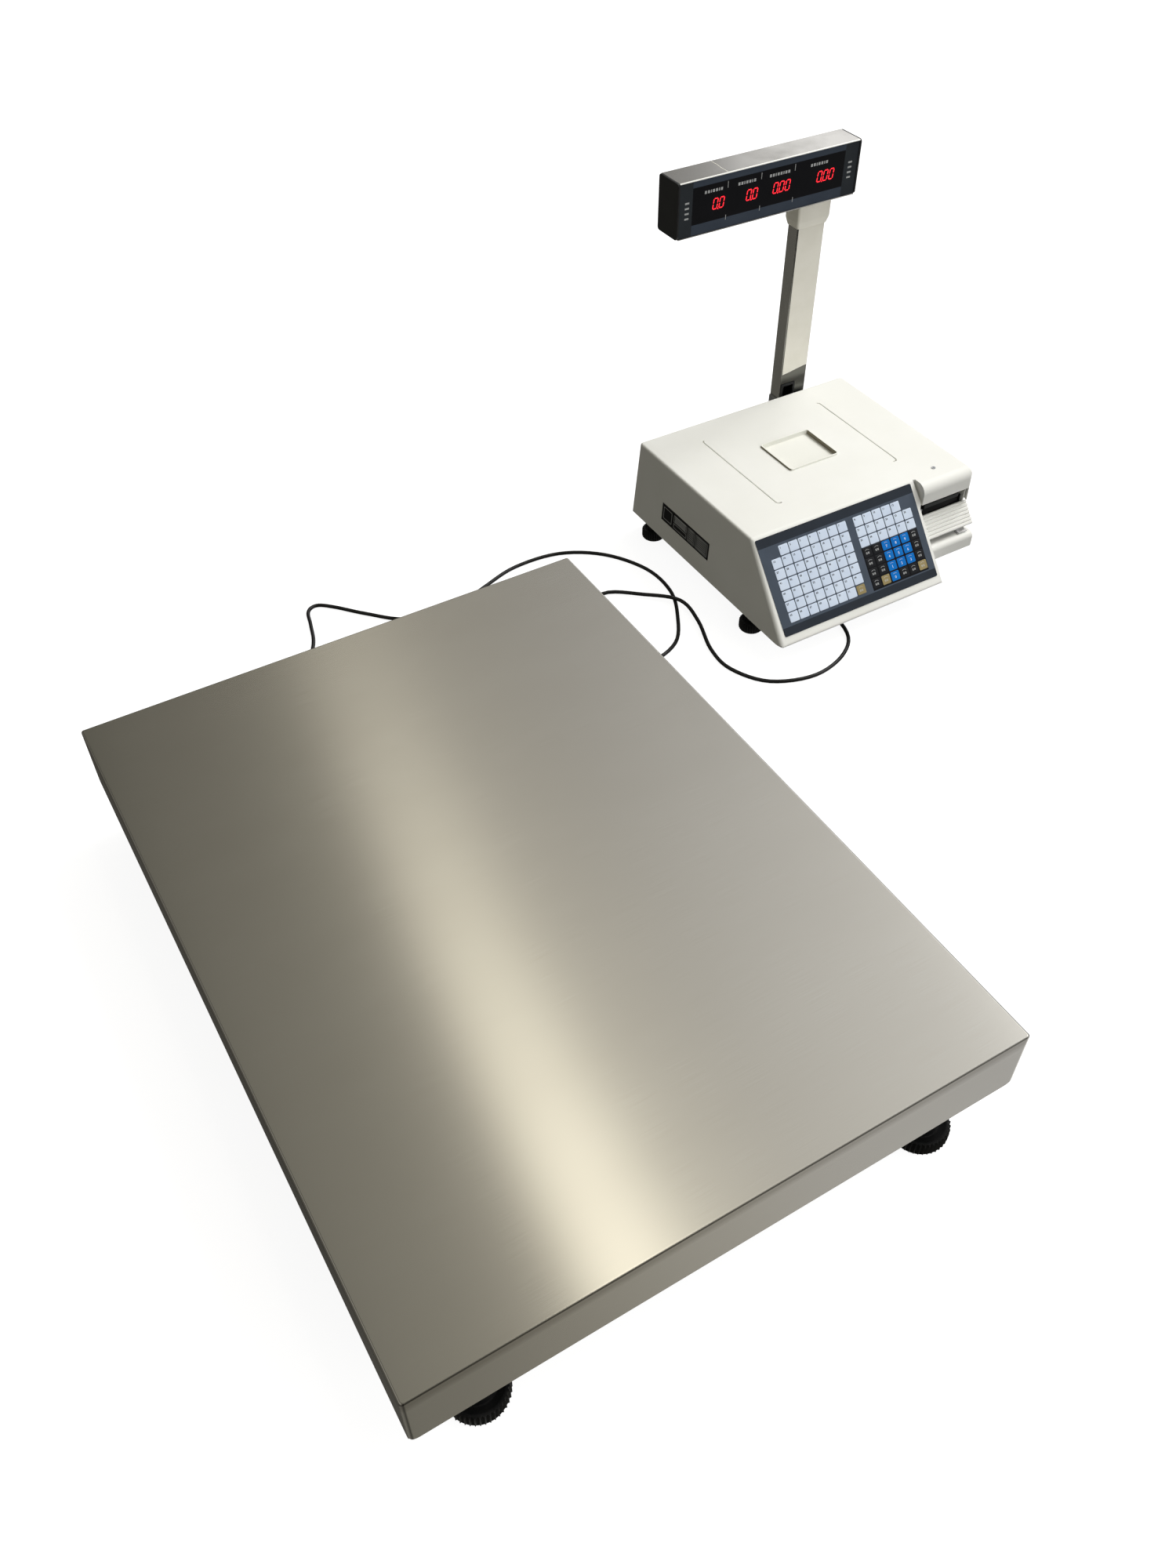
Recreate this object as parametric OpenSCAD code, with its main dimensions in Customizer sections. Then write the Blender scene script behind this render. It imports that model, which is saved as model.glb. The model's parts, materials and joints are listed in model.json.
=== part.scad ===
// Label printing scale: a floor-standing weighing platform, a printing console
// with a sloped keypad, and a display on a pole behind the console.
// Millimetres. +Z is up, +X is to the right seen from the keypad side, +Y is to the back.
// The origin is on the floor below the middle of the whole scale.

/* [Platform] */
// Width of the weighing platform, side to side
platform_w = 600; // [560:10:640]
// Length of the weighing platform, front to back
platform_l = 800; // [760:10:840]
// Height of the weighing surface above the floor
platform_h = 145; // [140:1:150]
// Depth of the cover's skirt
skirt_h = 75; // [70:1:80]
// Sheet thickness of the cover
sheet_t = 1.5; // [1:0.5:2]
// Radius of a platform foot
foot_r = 29; // [26:1:31]
// Height of the ribbed disc of a platform foot
foot_disc_h = 16; // [12:1:18]

/* [Frames] */
// Height of the lower frame's tubes
lower_tube_h = 30; // [28:1:32]
// Width of the lower frame's side rails
lower_rail_w = 40; // [36:1:44]
// Height of the upper frame's tubes
upper_tube_h = 25; // [24:1:26]
// Width of the upper frame's side rails
upper_rail_w = 30; // [26:1:32]
// Width of both centre beams
beam_w = 60; // [56:1:64]
// Thickness of the rubber pads under the cover
pad_t = 4; // [3:1:5]

/* [Console] */
// Distance of the console's left edge from the platform's left edge
console_dx = 818; // [790:1:850]
// Distance of the console's back edge from the platform's front edge
console_dy = 980; // [950:1:1010]
// Width of the console's top
case_w = 349; // [348:1:350]
// Height of the console's top above the floor
case_top = 140; // [139:1:141]
// Height of the case's lower edge above the floor
case_bottom = 29; // [28:1:30]
// Depth of the flat top on the keypad side
flat_l = 261; // [259:1:262]
// Slope of the keypad below the horizontal, in degrees
slope_a = 50; // [49:1:51]
// Wall thickness of the case
wall = 3; // [2.5:0.5:3.5]
// Radius of a console foot
console_foot_r = 16.3; // [14:0.1:16.5]

/* [Pole and display] */
// Width of the pole tube
pole_w = 45; // [44:1:46]
// Depth of the pole tube
pole_d = 22; // [21:1:23]
// Length of the display housing
display_w = 281; // [270:1:290]
// Depth of the display housing
display_d = 43; // [42:1:43]
// Height of the display housing
display_h = 69; // [66:1:70]
// Height of the display's lower face above the floor
display_z = 405; // [400:1:420]

/* [Printer] */
// Radius of the label roll
roll_r = 30; // [24:1:30]
// Width of the label roll
roll_w = 58; // [50:1:60]
// Radius of the rubber platen roller
platen_r = 7; // [6.5:0.5:7]
// Module of the feed gears
gear_m = 1; // [1:1:1]
// Teeth on the platen gear
platen_teeth = 24; // [24:12:24]
// Teeth on the motor pinion
pinion_teeth = 12; // [12:12:12]

/* [Hidden] */
$fn = 48;

// The console's left, right and back walls lean out towards the floor by these amounts.
side_draft = 6;
right_draft = 3;
back_draft = 7;
// The whole scale spans these lengths, cable apart.
span_x = console_dx + case_w + right_draft;
span_y = console_dy + 5 + display_d;
// Clearance of a bolt or a stud in its hole
fit_gap = 0.05;

// Levels of the platform's parts
cover_under = platform_h - sheet_t;
upper_top = cover_under - pad_t;
upper_bottom = upper_top - upper_tube_h;
cell_h = 35;
cell_pad = 2.5;
cell_bottom = upper_bottom - cell_pad - cell_h;
lower_top = cell_bottom - cell_pad;
lower_bottom = lower_top - lower_tube_h;
frame_end = 20;
tube_wall = 2.5;
upper_wall = 2;
foot_inset_x = 68;
foot_inset_y = 32;
stud_r = 6;
pad_inset_y = 60;
stop_inset_y = 120;
stop_r = 4;
cell_l = 150;
cell_w = 40;
bolt_r = 4;
bolt_inset = [9, 28];
lead_x = platform_w / 2 - 55;
lead_z = (lower_top + lower_bottom) / 2;
lead_r = 2.5;

// Console shape
drop = case_top - case_bottom;
front_y = flat_l + drop / tan(slope_a);
body_w = 261.5;
nose_left = 264;
nose_y = 284.5;
nose_bottom = 112;
nose_r = 14;
side_low = 92.5;
case_corner_r = 12;
bay_left = body_w;
pad_y = back_draft + 0.5;
panel_x = 4;
panel_w = 251;
panel_top = 3.6;
panel_l = 127;
panel_t = 0.6;
key_t = 0.4;
key_pitch_x = 15.5;
key_pitch_y = 14.05;
key_w = 14.2;
key_l = 12.7;
left_block_x = 14;
right_block_x = 148.5;
block_y = 15.5;
seat_x = 135;
seat_y = -163;
seat_w = 81;
seat_l = 71;
seat_depth = 2.5;
seat_rim_h = 2.4;
console_feet = [[10, -267], [336, -252], [10, -28], [336, -28]];
base_z = case_bottom + 1;
base_t = 2;
boss_z = 24;
signal_x = 115;
signal_z = 50;

// Pole and display places
pole_x = 251;
pole_y = 18.5;
pole_foot_z = 36;
display_x = 48;
display_y = 5;
sleeve_z = 370;
sleeve_wall = 3.8;

// Printer places
platen_y = -268;
platen_z = 90;
motor_y = -258;
motor_z = platen_z - sqrt(pow(gear_distance() + 0.1, 2) - pow(motor_y - platen_y, 2));
roll_y = -205;
roll_z = 66;
spool_y = -268;
spool_z = 52;
plate_left = 272;
plate_right = 341;
plate_t = 2;
gear_x = 265;
gear_w = 5;
ledge_y = -309;
ledge_back_y = -285;
ledge_z = 54;
ledge_bottom = 31;
latch_x = 326;
latch_w = 14;
latch_y = -295;
latch_z = 51;

function gear_distance() = gear_m * (platen_teeth + pinion_teeth) / 2;

// Route of the signal cable, from the platform's gland to the console's gland.
// Points are measured from the platform's front left corner on the floor.
cable_r = 2.5;
cable_route = [
    [245, 797, 59.5], [246, 825, 54], [250, 852, 30], [258, 880, 9], [285, 925, 3.3],
    [315, 974, 2.65], [327, 1012, 2.6], [335, 1040, 2.6], [350, 1047, 2.6], [369, 1032, 2.6],
    [400, 997, 2.6], [440, 960, 2.6], [500, 944, 2.6], [560, 966, 2.6], [620, 985, 2.6],
    [688, 981, 2.6], [742, 946, 2.6], [775, 888, 2.6], [777, 830, 2.6], [756, 780, 2.6],
    [722, 734, 2.6], [672, 722, 2.6], [638, 768, 2.6], [646, 836, 2.65], [694, 871, 2.95],
    [740, 838, 5.4], [773, 800, 8], [772, 755, 4.6], [755, 700, 2.95], [755, 655, 2.62],
    [784, 610, 2.6], [842, 590, 2.6], [900, 606, 2.6], [931, 645, 2.6], [935, 730, 2.6],
    [933, 860, 2.6], [933, 950, 2.65], [933, 995, 3.1], [933, 1024, 6.5], [933, 1041, 17],
    [933, 1045, 30], [933, 1037, 42], [933, 1021, 48.6], [933, 1004.5, 50]
];

module at_platform() {
    translate([-span_x / 2, -span_y / 2, 0]) children();
}

module at_console() {
    translate([console_dx - span_x / 2, console_dy - span_y / 2, 0]) children();
}

// Helper shapes

// Extrudes an outline drawn in Y and Z along X, from x0 over a width of w.
module along_x(x0, w) {
    translate([x0, 0, 0]) rotate([90, 0, 90]) linear_extrude(w) children();
}

// Extrudes an outline drawn in X and Z towards the front, from y0 over a length of l.
module along_front(y0, l) {
    translate([0, y0, 0]) rotate([90, 0, 0]) linear_extrude(l) children();
}

module rod_x(r, l, centre) {
    translate(centre) rotate([0, 90, 0]) cylinder(r = r, h = l);
}

module rod_y(r, l, centre) {
    translate(centre) rotate([-90, 0, 0]) cylinder(r = r, h = l);
}

// A rectangle with round corners, centred or from its corner at the origin.
module round_rect(w, l, r) {
    translate([r, 0]) square([w - 2 * r, l]);
    translate([0, r]) square([w, l - 2 * r]);
    for (x = [r, w - r], y = [r, l - r]) translate([x, y]) circle(r);
}

module box_from(low, high) {
    translate(low) cube(high - low);
}

// A straight tube of rectangular section that runs along X or along Y.
module tube_x(low, high, t) {
    difference() {
        box_from(low, high);
        box_from(low + [-1, t, t], high + [1, -t, -t]);
    }
}

module tube_y(low, high, t) {
    difference() {
        box_from(low, high);
        box_from(low + [t, -1, t], high + [-t, 1, -t]);
    }
}

// A round rod between two points.
module rod_between(a, b, r) {
    v = b - a;
    turn = atan2(v[1], v[0]);
    tilt = acos(v[2] / norm(v));
    translate(a) rotate([0, tilt, turn]) cylinder(r = r, h = norm(v));
}

module rod_chain(points, r) {
    for (i = [0:len(points) - 2]) rod_between(points[i], points[i + 1], r);
    for (i = [1:len(points) - 2]) translate(points[i]) sphere(r);
}

module hex_nut(af, h, r) {
    difference() {
        cylinder(r = af / sqrt(3), h = h, $fn = 6);
        translate([0, 0, -1]) cylinder(r = r, h = h + 2);
    }
}

// Platform

module platform_cover() {
    color("silver") at_platform() difference() {
        translate([0, 0, platform_h - skirt_h]) linear_extrude(skirt_h)
            round_rect(platform_w, platform_l, 3);
        translate([sheet_t, sheet_t, platform_h - skirt_h - 1])
            linear_extrude(skirt_h + 1 - sheet_t)
                round_rect(platform_w - 2 * sheet_t, platform_l - 2 * sheet_t, 1.5);
    }
}

module cover_pads() {
    color("dimgray") at_platform()
        for (x = [foot_inset_x, platform_w - foot_inset_x], y = [pad_inset_y, platform_l - pad_inset_y])
            translate([x, y, upper_top]) cylinder(r = 14, h = pad_t);
}

module upper_rail(x) {
    at_platform() tube_y([x - upper_rail_w / 2, frame_end, upper_bottom],
        [x + upper_rail_w / 2, platform_l - frame_end, upper_top], upper_wall);
}

module upper_left_rail() {
    color("slategray") upper_rail(foot_inset_x);
}

module upper_right_rail() {
    color("slategray") upper_rail(platform_w - foot_inset_x);
}

// Offsets of the two bolts from the fixed end of the cell, along X
function bolt_xs(left) = [for (d = bolt_inset)
    left ? platform_w / 2 - cell_l / 2 + d : platform_w / 2 + cell_l / 2 - d];

module upper_centre_beam() {
    inner = foot_inset_x + upper_rail_w / 2;
    color("slategray") at_platform() difference() {
        tube_x([inner, platform_l / 2 - beam_w / 2, upper_bottom],
            [platform_w - inner, platform_l / 2 + beam_w / 2, upper_top], upper_wall);
        for (x = bolt_xs(false)) translate([x, platform_l / 2, 0]) {
            translate([0, 0, upper_bottom - 1]) cylinder(r = bolt_r + fit_gap, h = upper_wall + 2);
            translate([0, 0, upper_top - upper_wall - 1]) cylinder(r = 8, h = upper_wall + 2);
        }
    }
}

module load_cell() {
    mid = [platform_w / 2, platform_l / 2, cell_bottom];
    end = 37;
    hole_r = 11;
    color("gainsboro") at_platform() translate(mid) difference() {
        union() {
            translate([-cell_l / 2, -cell_w / 2, 0]) cube([cell_l, cell_w, cell_h]);
            translate([-cell_l / 2, -cell_w / 2, -cell_pad]) cube([end, cell_w, cell_pad + 1]);
            translate([cell_l / 2 - end, -cell_w / 2, cell_h - 1]) cube([end, cell_w, cell_pad + 1]);
        }
        for (x = [-15, 15]) rod_y(hole_r, cell_w + 2, [x, -cell_w / 2 - 1, cell_h / 2]);
        translate([-15, -cell_w / 2 - 1, cell_h / 2 - 3]) cube([30, cell_w + 2, 6]);
        for (d = bolt_inset) {
            translate([d - cell_l / 2, 0, -cell_pad - 1]) cylinder(r = bolt_r + fit_gap, h = 19);
            translate([cell_l / 2 - d, 0, cell_h + cell_pad - 18]) cylinder(r = bolt_r + fit_gap, h = 19);
        }
    }
}

module socket_bolt(shank) {
    cylinder(r = bolt_r, h = shank);
    translate([0, 0, -8]) difference() {
        cylinder(r = 6.5, h = 8);
        translate([0, 0, -1]) cylinder(r = 3.5, h = 5, $fn = 6);
    }
}

module load_cell_bolts() {
    color("dimgray") at_platform() {
        for (x = bolt_xs(true)) translate([x, platform_l / 2, lower_top - tube_wall]) socket_bolt(17);
        for (x = bolt_xs(false)) translate([x, platform_l / 2, upper_bottom + upper_wall])
            rotate([180, 0, 0]) socket_bolt(17);
    }
}

module load_cell_lead() {
    side = platform_l / 2 + cell_w / 2;
    start_z = cell_bottom + 7.5;
    color("black") at_platform() rod_chain([[lead_x, side, start_z], [lead_x, side + 50, start_z],
        [lead_x, platform_l - 100, lead_z], [lead_x, platform_l - frame_end - 10, lead_z]], lead_r);
}

module overload_stops() {
    color("dimgray") at_platform()
        for (x = [foot_inset_x, platform_w - foot_inset_x], y = [stop_inset_y, platform_l - stop_inset_y])
            translate([x, y, 0]) {
                translate([0, 0, lower_top - 12]) cylinder(r = stop_r, h = upper_bottom - 1 - lower_top + 12);
                translate([0, 0, lower_top]) hex_nut(13, 6.5, stop_r - 0.5);
            }
}

module lower_rail(x) {
    at_platform() difference() {
        tube_y([x - lower_rail_w / 2, frame_end, lower_bottom],
            [x + lower_rail_w / 2, platform_l - frame_end, lower_top], tube_wall);
        for (y = [foot_inset_y, platform_l - foot_inset_y])
            translate([x, y, lower_bottom - 1]) cylinder(r = stud_r + fit_gap, h = lower_tube_h + 2);
        for (y = [stop_inset_y, platform_l - stop_inset_y])
            translate([x, y, lower_top - tube_wall - 1]) cylinder(r = stop_r + fit_gap, h = tube_wall + 2);
    }
}

module lower_left_rail() {
    color("slategray") lower_rail(foot_inset_x);
}

module lower_right_rail() {
    color("slategray") lower_rail(platform_w - foot_inset_x);
}

module lower_cross(y, l) {
    inner = foot_inset_x + lower_rail_w / 2;
    tube_x([inner, y, lower_bottom], [platform_w - inner, y + l, lower_top], tube_wall);
}

module lower_front_tube() {
    color("slategray") at_platform() lower_cross(frame_end, lower_tube_h);
}

module lower_rear_tube() {
    back = platform_l - frame_end;
    color("slategray") at_platform() difference() {
        lower_cross(back - lower_tube_h, lower_tube_h);
        rod_y(lead_r + 1, lower_tube_h, [lead_x, back - lower_tube_h - 10, lead_z]);
        rod_y(6 + fit_gap, 10, [lead_x, back - 5, lead_z]);
    }
}

module lower_centre_beam() {
    color("slategray") at_platform() difference() {
        lower_cross(platform_l / 2 - beam_w / 2, beam_w);
        for (x = bolt_xs(true)) translate([x, platform_l / 2, 0]) {
            translate([0, 0, lower_top - tube_wall - 1]) cylinder(r = bolt_r + fit_gap, h = tube_wall + 2);
            translate([0, 0, lower_bottom - 1]) cylinder(r = 8, h = tube_wall + 2);
        }
    }
}

// A levelling foot: a ribbed disc on a stud, which turns about its own axis.
module levelling_foot(r, disc_h, hub_r, hub_top, rod_r, top) {
    chamfer = 1.5;
    rotate_extrude() polygon([[0, 0], [r - chamfer, 0], [r, chamfer], [r, disc_h - chamfer],
        [r - chamfer, disc_h], [hub_r, disc_h], [hub_r, hub_top], [rod_r, hub_top],
        [rod_r, top], [0, top]]);
}

module platform_foot(x, y) {
    color("black") at_platform() translate([x, y, 0])
        levelling_foot(foot_r, foot_disc_h, 17, foot_disc_h + 8, stud_r, lower_top + 6);
}

module platform_foot_front_left() {
    platform_foot(foot_inset_x, foot_inset_y);
}

module platform_foot_front_right() {
    platform_foot(platform_w - foot_inset_x, foot_inset_y);
}

module platform_foot_rear_left() {
    platform_foot(foot_inset_x, platform_l - foot_inset_y);
}

module platform_foot_rear_right() {
    platform_foot(platform_w - foot_inset_x, platform_l - foot_inset_y);
}

module platform_foot_nuts() {
    nut_h = 10;
    color("silver") at_platform()
        for (x = [foot_inset_x, platform_w - foot_inset_x], y = [foot_inset_y, platform_l - foot_inset_y])
            translate([x, y, lower_bottom - nut_h]) hex_nut(19, nut_h, stud_r + fit_gap);
}

// A cable gland whose cable leaves towards +Y, with its flange at the origin.
module gland(tail, nut_y) {
    rotate([-90, 0, 0]) {
        cylinder(r = 16 / sqrt(3), h = 7, $fn = 6);
        translate([0, 0, 7]) rotate_extrude()
            polygon([[0, 0], [7.5, 0], [7.5, 3], [5.5, 8], [4, 10], [0, 10]]);
        translate([0, 0, -tail]) cylinder(r = 6, h = tail);
        translate([0, 0, -nut_y - 4]) cylinder(r = 16 / sqrt(3), h = 4, $fn = 6);
    }
}

module platform_gland() {
    color("black") at_platform() translate([lead_x, platform_l - frame_end, lead_z])
        gland(10, tube_wall);
}

// A ring of the cable's outline at a point, square to the direction of the route there.
function ring(p, d, sides) =
    let (side = [d[1], -d[0], 0] / norm([d[0], d[1]]), up = cross(side, d))
    [for (k = [0:sides - 1]) p + cable_r * (cos(360 * k / sides) * side + sin(360 * k / sides) * up)];

// A point of the smooth curve through the route, t of the way from point i to the next.
function route_point(r, i, t) =
    let (n = len(r) - 1, a = r[max(i - 1, 0)], b = r[i], c = r[min(i + 1, n)], d = r[min(i + 2, n)])
    b + 0.5 * t * ((c - a) + t * ((2 * a - 5 * b + 4 * c - d) + t * (3 * b - a - 3 * c + d)));

function unit(v) = v / norm(v);

module signal_cable() {
    sides = 8;
    steps = 4;
    n = (len(cable_route) - 1) * steps;
    path = [for (i = [0:n]) route_point(cable_route, floor(i / steps), (i % steps) / steps)];
    // Both ends leave their glands square, along Y.
    way = [for (i = [0:n]) i == 0 ? [0, 1, 0] : i == n ? [0, -1, 0] : unit(path[i + 1] - path[i - 1])];
    rings = [for (i = [0:n]) ring(path[i], cable_way(way, i), sides)];
    points = [for (r = rings, p = r) p];
    walls = [for (i = [0:n - 1], k = [0:sides - 1])
        [i * sides + k, i * sides + (k + 1) % sides, (i + 1) * sides + (k + 1) % sides, (i + 1) * sides + k]];
    start = [for (k = [sides - 1:-1:0]) k];
    finish = [for (k = [0:sides - 1]) n * sides + k];
    color("black") at_platform() polyhedron(points, concat(walls, [start, finish]));
}

// Keeps the last known level direction where the route climbs straight up.
function cable_way(way, i) = norm([way[i][0], way[i][1]]) > 0.02 ? way[i] : unit(way[i] + [0, 0.05, 0]);

// Console

// Outline of the console from the side, in Y and Z, made smaller by t.
module side_outline(t) {
    run = drop / tan(slope_a);
    back = t;
    slope_shift = t / sin(slope_a) - t / tan(slope_a);
    polygon([[-t, case_top - t], [back_draft - t, case_bottom - (t > 0 ? 1 : 0)],
        [-flat_l - run + t / sin(slope_a), case_bottom - (t > 0 ? 1 : 0)],
        [-flat_l + slope_shift, case_top - t]]);
}

// Outline of the printer's side: it ends in a round nose.
module nose_outline(t) {
    difference() {
        polygon([[-t, case_top - t], [back_draft - t, case_bottom - (t > 0 ? 1 : 0)],
            [-nose_y + t, case_bottom - (t > 0 ? 1 : 0)], [-nose_y + t, case_top - t]]);
        translate([-nose_y, case_top - nose_r]) square([nose_r, nose_r + 1]);
    }
    translate([-nose_y + nose_r, case_top - nose_r]) circle(nose_r - t);
}

// Outline from the front, in X and Z, made smaller by t.
module front_outline(t) {
    low = case_bottom - (t > 0 ? 1 : 0);
    polygon([[t, case_top - t], [case_w - t, case_top - t], [case_w + right_draft - t, low],
        [-side_draft + t, low]]);
}

module case_outer() {
    intersection() {
        union() {
            along_x(-side_draft, body_w + side_draft) side_outline(0);
            along_x(body_w - 1, case_w + right_draft - body_w + 1) nose_outline(0);
        }
        along_front(back_draft, front_y + back_draft) front_outline(0);
        translate([-side_draft, -front_y, case_bottom]) linear_extrude(drop)
            round_rect(case_w + side_draft + right_draft, front_y + back_draft, case_corner_r);
    }
}

module case_cavity() {
    intersection() {
        union() {
            along_x(-side_draft, body_w - wall + side_draft) side_outline(wall);
            along_x(bay_left, case_w + right_draft - bay_left) nose_outline(wall);
            // The two rooms join behind the printer.
            box_from([body_w - wall - 1, -150, base_z + base_t], [bay_left + 1, -wall - 1, case_top - wall]);
        }
        along_front(back_draft, front_y + back_draft) front_outline(wall);
        translate([-side_draft + wall, -front_y + wall, case_bottom - 1]) linear_extrude(drop)
            round_rect(case_w + side_draft + right_draft - 2 * wall, front_y + back_draft - 2 * wall,
                case_corner_r - wall);
    }
}

module back_pads() {
    box_from([22, 0, case_bottom], [135, pad_y, 88]);
    box_from([240, 0, case_bottom], [307, pad_y, 125]);
}

module console_case() {
    groove_w = 1.2;
    screw_hole = 1.7;
    color("ivory") at_console() difference() {
        union() {
            difference() {
                case_outer();
                case_cavity();
            }
            difference() {
                back_pads();
                translate([0, -wall, 0]) back_pads();
            }
            // Left end of the nose
            intersection() {
                case_outer();
                box_from([nose_left, -nose_y - 1, nose_bottom], [nose_left + 2.5, -flat_l - 1, case_top]);
            }
        }
        // Gap between the keypad's slope and the nose
        box_from([body_w, -nose_y - 1, nose_bottom - 1], [nose_left, -flat_l - 1.5, case_top + 1]);
        // Front opening of the printer bay
        box_from([bay_left, -nose_y - 1, case_bottom - 1], [case_w - wall, -nose_y + wall + 9.5, nose_bottom]);
        box_from([case_w - wall - 1, -nose_y - 1, case_bottom - 1], [case_w + 10, -nose_y + 9.5, side_low]);
        translate([seat_x + 0.5, seat_y + 0.5, case_top - wall - 1]) linear_extrude(wall + 2)
            round_rect(seat_w - 1, seat_l - 1, 4.2);
        for (x = [75, 274]) box_from([x - groove_w / 2, -211, case_top - 0.8], [x + groove_w / 2, -42, case_top + 1]);
        translate([303, -254, case_top - wall - 1]) cylinder(r = screw_hole, h = wall + 2);
        // The wall between the two rooms stands on the base.
        box_from([body_w - wall - 1, -nose_y + wall, case_bottom - 1],
            [bay_left + 1, back_draft - wall - 0.5, base_z + base_t]);
        // Openings in the back wall
        box_from([27.8, -9, 43.8], [75.2, pad_y + 1, 66.2]);
        rod_y(6.1, 20, [signal_x, -9, signal_z]);
        rod_y(4.1, 20, [264, -9, 112]);
        for (x = [262, 285], z = [50, 98]) rod_y(2.1, 20, [x, -9, z]);
    }
}

module console_base() {
    inset = wall + 0.4;
    low = -side_draft + inset;
    right = case_w + right_draft - inset;
    color("silver") at_console() difference() {
        union() {
            box_from([low, -front_y + 8, base_z], [body_w - wall - 0.4, 3, base_z + base_t]);
            box_from([body_w - wall - 1, -nose_y + 8.5, base_z], [right, 3, base_z + base_t]);
            for (p = console_feet)
                translate([p.x, p.y, boss_z]) cylinder(r = 10, h = base_z - boss_z + 0.5);
            for (x = [50, 190], y = [-190, -70])
                translate([x, y, base_z + base_t - 0.5]) cylinder(r = 3, h = 8.5);
        }
        for (p = console_feet)
            translate([p.x, p.y, boss_z - 1]) cylinder(r = 4 + fit_gap, h = 20);
        for (i = [0:8]) translate([40 + 18 * i, -300, base_z - 1]) linear_extrude(base_t + 2)
            round_rect(5, 60, 2.4);
        // Round corners, like the case
        for (y = [3, -front_y + 8]) translate([low, y, base_z - 1]) rotate([0, 0, 45])
            translate([-5, -5, 0]) cube([10, 10, base_t + 2]);
        translate([right, 3, base_z - 1]) rotate([0, 0, 45]) translate([-5, -5, 0]) cube([10, 10, base_t + 2]);
    }
}

module seat_insert() {
    rim = 2;
    color("ivory") at_console() difference() {
        union() {
            translate([seat_x, seat_y, case_top]) linear_extrude(seat_rim_h) round_rect(seat_w, seat_l, 4.5);
            translate([seat_x + 0.8, seat_y + 0.8, case_top - seat_depth - 1.8])
                linear_extrude(seat_depth + 2) round_rect(seat_w - 1.6, seat_l - 1.6, 3.7);
        }
        translate([seat_x + rim, seat_y + rim, case_top - seat_depth])
            linear_extrude(seat_depth + seat_rim_h + 1) round_rect(seat_w - 2 * rim, seat_l - 2 * rim, 2.5);
    }
}

// Puts its children on the keypad's slope: local X to the right, local -Y down the slope,
// local Z out of it. The local origin is at the overlay's upper left corner.
module on_slope() {
    translate([panel_x, -flat_l, case_top]) rotate([slope_a, 0, 0])
        translate([0, -panel_top, 0]) children();
}

module keypad_overlay() {
    color("darkslateblue") at_console() on_slope() translate([0, -panel_l, 0]) linear_extrude(panel_t)
        round_rect(panel_w, panel_l, 2);
}

module key_at(x, row) {
    translate([x, -block_y - key_pitch_y * row - key_l, panel_t]) cube([key_w, key_l, key_t]);
}

module keypad_keys() {
    color("lightsteelblue") at_console() on_slope() {
        for (row = [0:6], col = [row == 0 ? 1 : 0:7]) key_at(left_block_x + key_pitch_x * col, row);
        for (row = [0:6], col = [0:row == 0 ? 4 : 5]) key_at(right_block_x + key_pitch_x * col, row);
    }
}

module rating_plate() {
    low = 58;
    high = 84;
    t = 0.5;
    function wall_x(z) = -side_draft * (case_top - z) / drop;
    color("black") at_console() along_front(-68, 112)
        polygon([[wall_x(low) - t, low], [wall_x(low), low], [wall_x(high), high], [wall_x(high) - t, high]]);
}

module console_foot(x, y) {
    color("black") at_console() translate([x, y, 0])
        levelling_foot(console_foot_r, 14, 9, boss_z - 0.3, 4, base_z + base_t);
}

module console_foot_front_left() {
    console_foot(console_feet[0].x, console_feet[0].y);
}

module console_foot_front_right() {
    console_foot(console_feet[1].x, console_feet[1].y);
}

module console_foot_rear_left() {
    console_foot(console_feet[2].x, console_feet[2].y);
}

module console_foot_rear_right() {
    console_foot(console_feet[3].x, console_feet[3].y);
}

module main_board() {
    z = base_z + base_t + 8;
    color("darkgreen") at_console() {
        box_from([40, -200, z], [200, -60, z + 1.6]);
        box_from([70, -150, z + 1.5], [98, -122, z + 4]);
        box_from([120, -160, z + 1.5], [150, -140, z + 4]);
        box_from([60, -90, z + 1.5], [110, -78, z + 12]);
        box_from([160, -120, z + 1.5], [182, -84, z + 10]);
        for (x = [130, 145]) translate([x, -85, z + 1.5]) cylinder(r = 5, h = 16);
    }
}

module power_supply() {
    color("silver") at_console() difference() {
        box_from([140, -52, base_z + base_t], [236, -8, 70]);
        for (i = [0:9]) box_from([148 + 8 * i, -44, 68], [151 + 8 * i, -16, 71]);
    }
}

// Mains inlet and switch housing in one moulding, in the back wall.
module mains_inlet() {
    color("black") at_console() difference() {
        union() {
            box_from([26, pad_y, 42], [77, pad_y + 2, 68]);
            box_from([28, -16, 44], [75, pad_y + 0.5, 66]);
        }
        box_from([30, -9, 47], [54, pad_y + 3, 63]);
        box_from([58.5, -10, 45.5], [73.5, pad_y + 3, 64.5]);
        rod_x(1.5 + fit_gap, 17.4, [57, 2, 55]);
    }
}

module power_switch() {
    color("darkred") at_console() {
        translate([59, 2, 55]) rotate([8, 0, 0]) rotate([90, 0, 90])
            linear_extrude(14) polygon([[-3, -4], [-3, 4], [3, 8], [9, 8], [7.4, 0], [9, -8], [3, -8]]);
        rod_x(1.5, 16.6, [57.4, 2, 55]);
    }
}

module console_gland() {
    color("black") at_console() translate([signal_x, pad_y, signal_z]) gland(16, pad_y + 1);
}

// Pole and display

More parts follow.
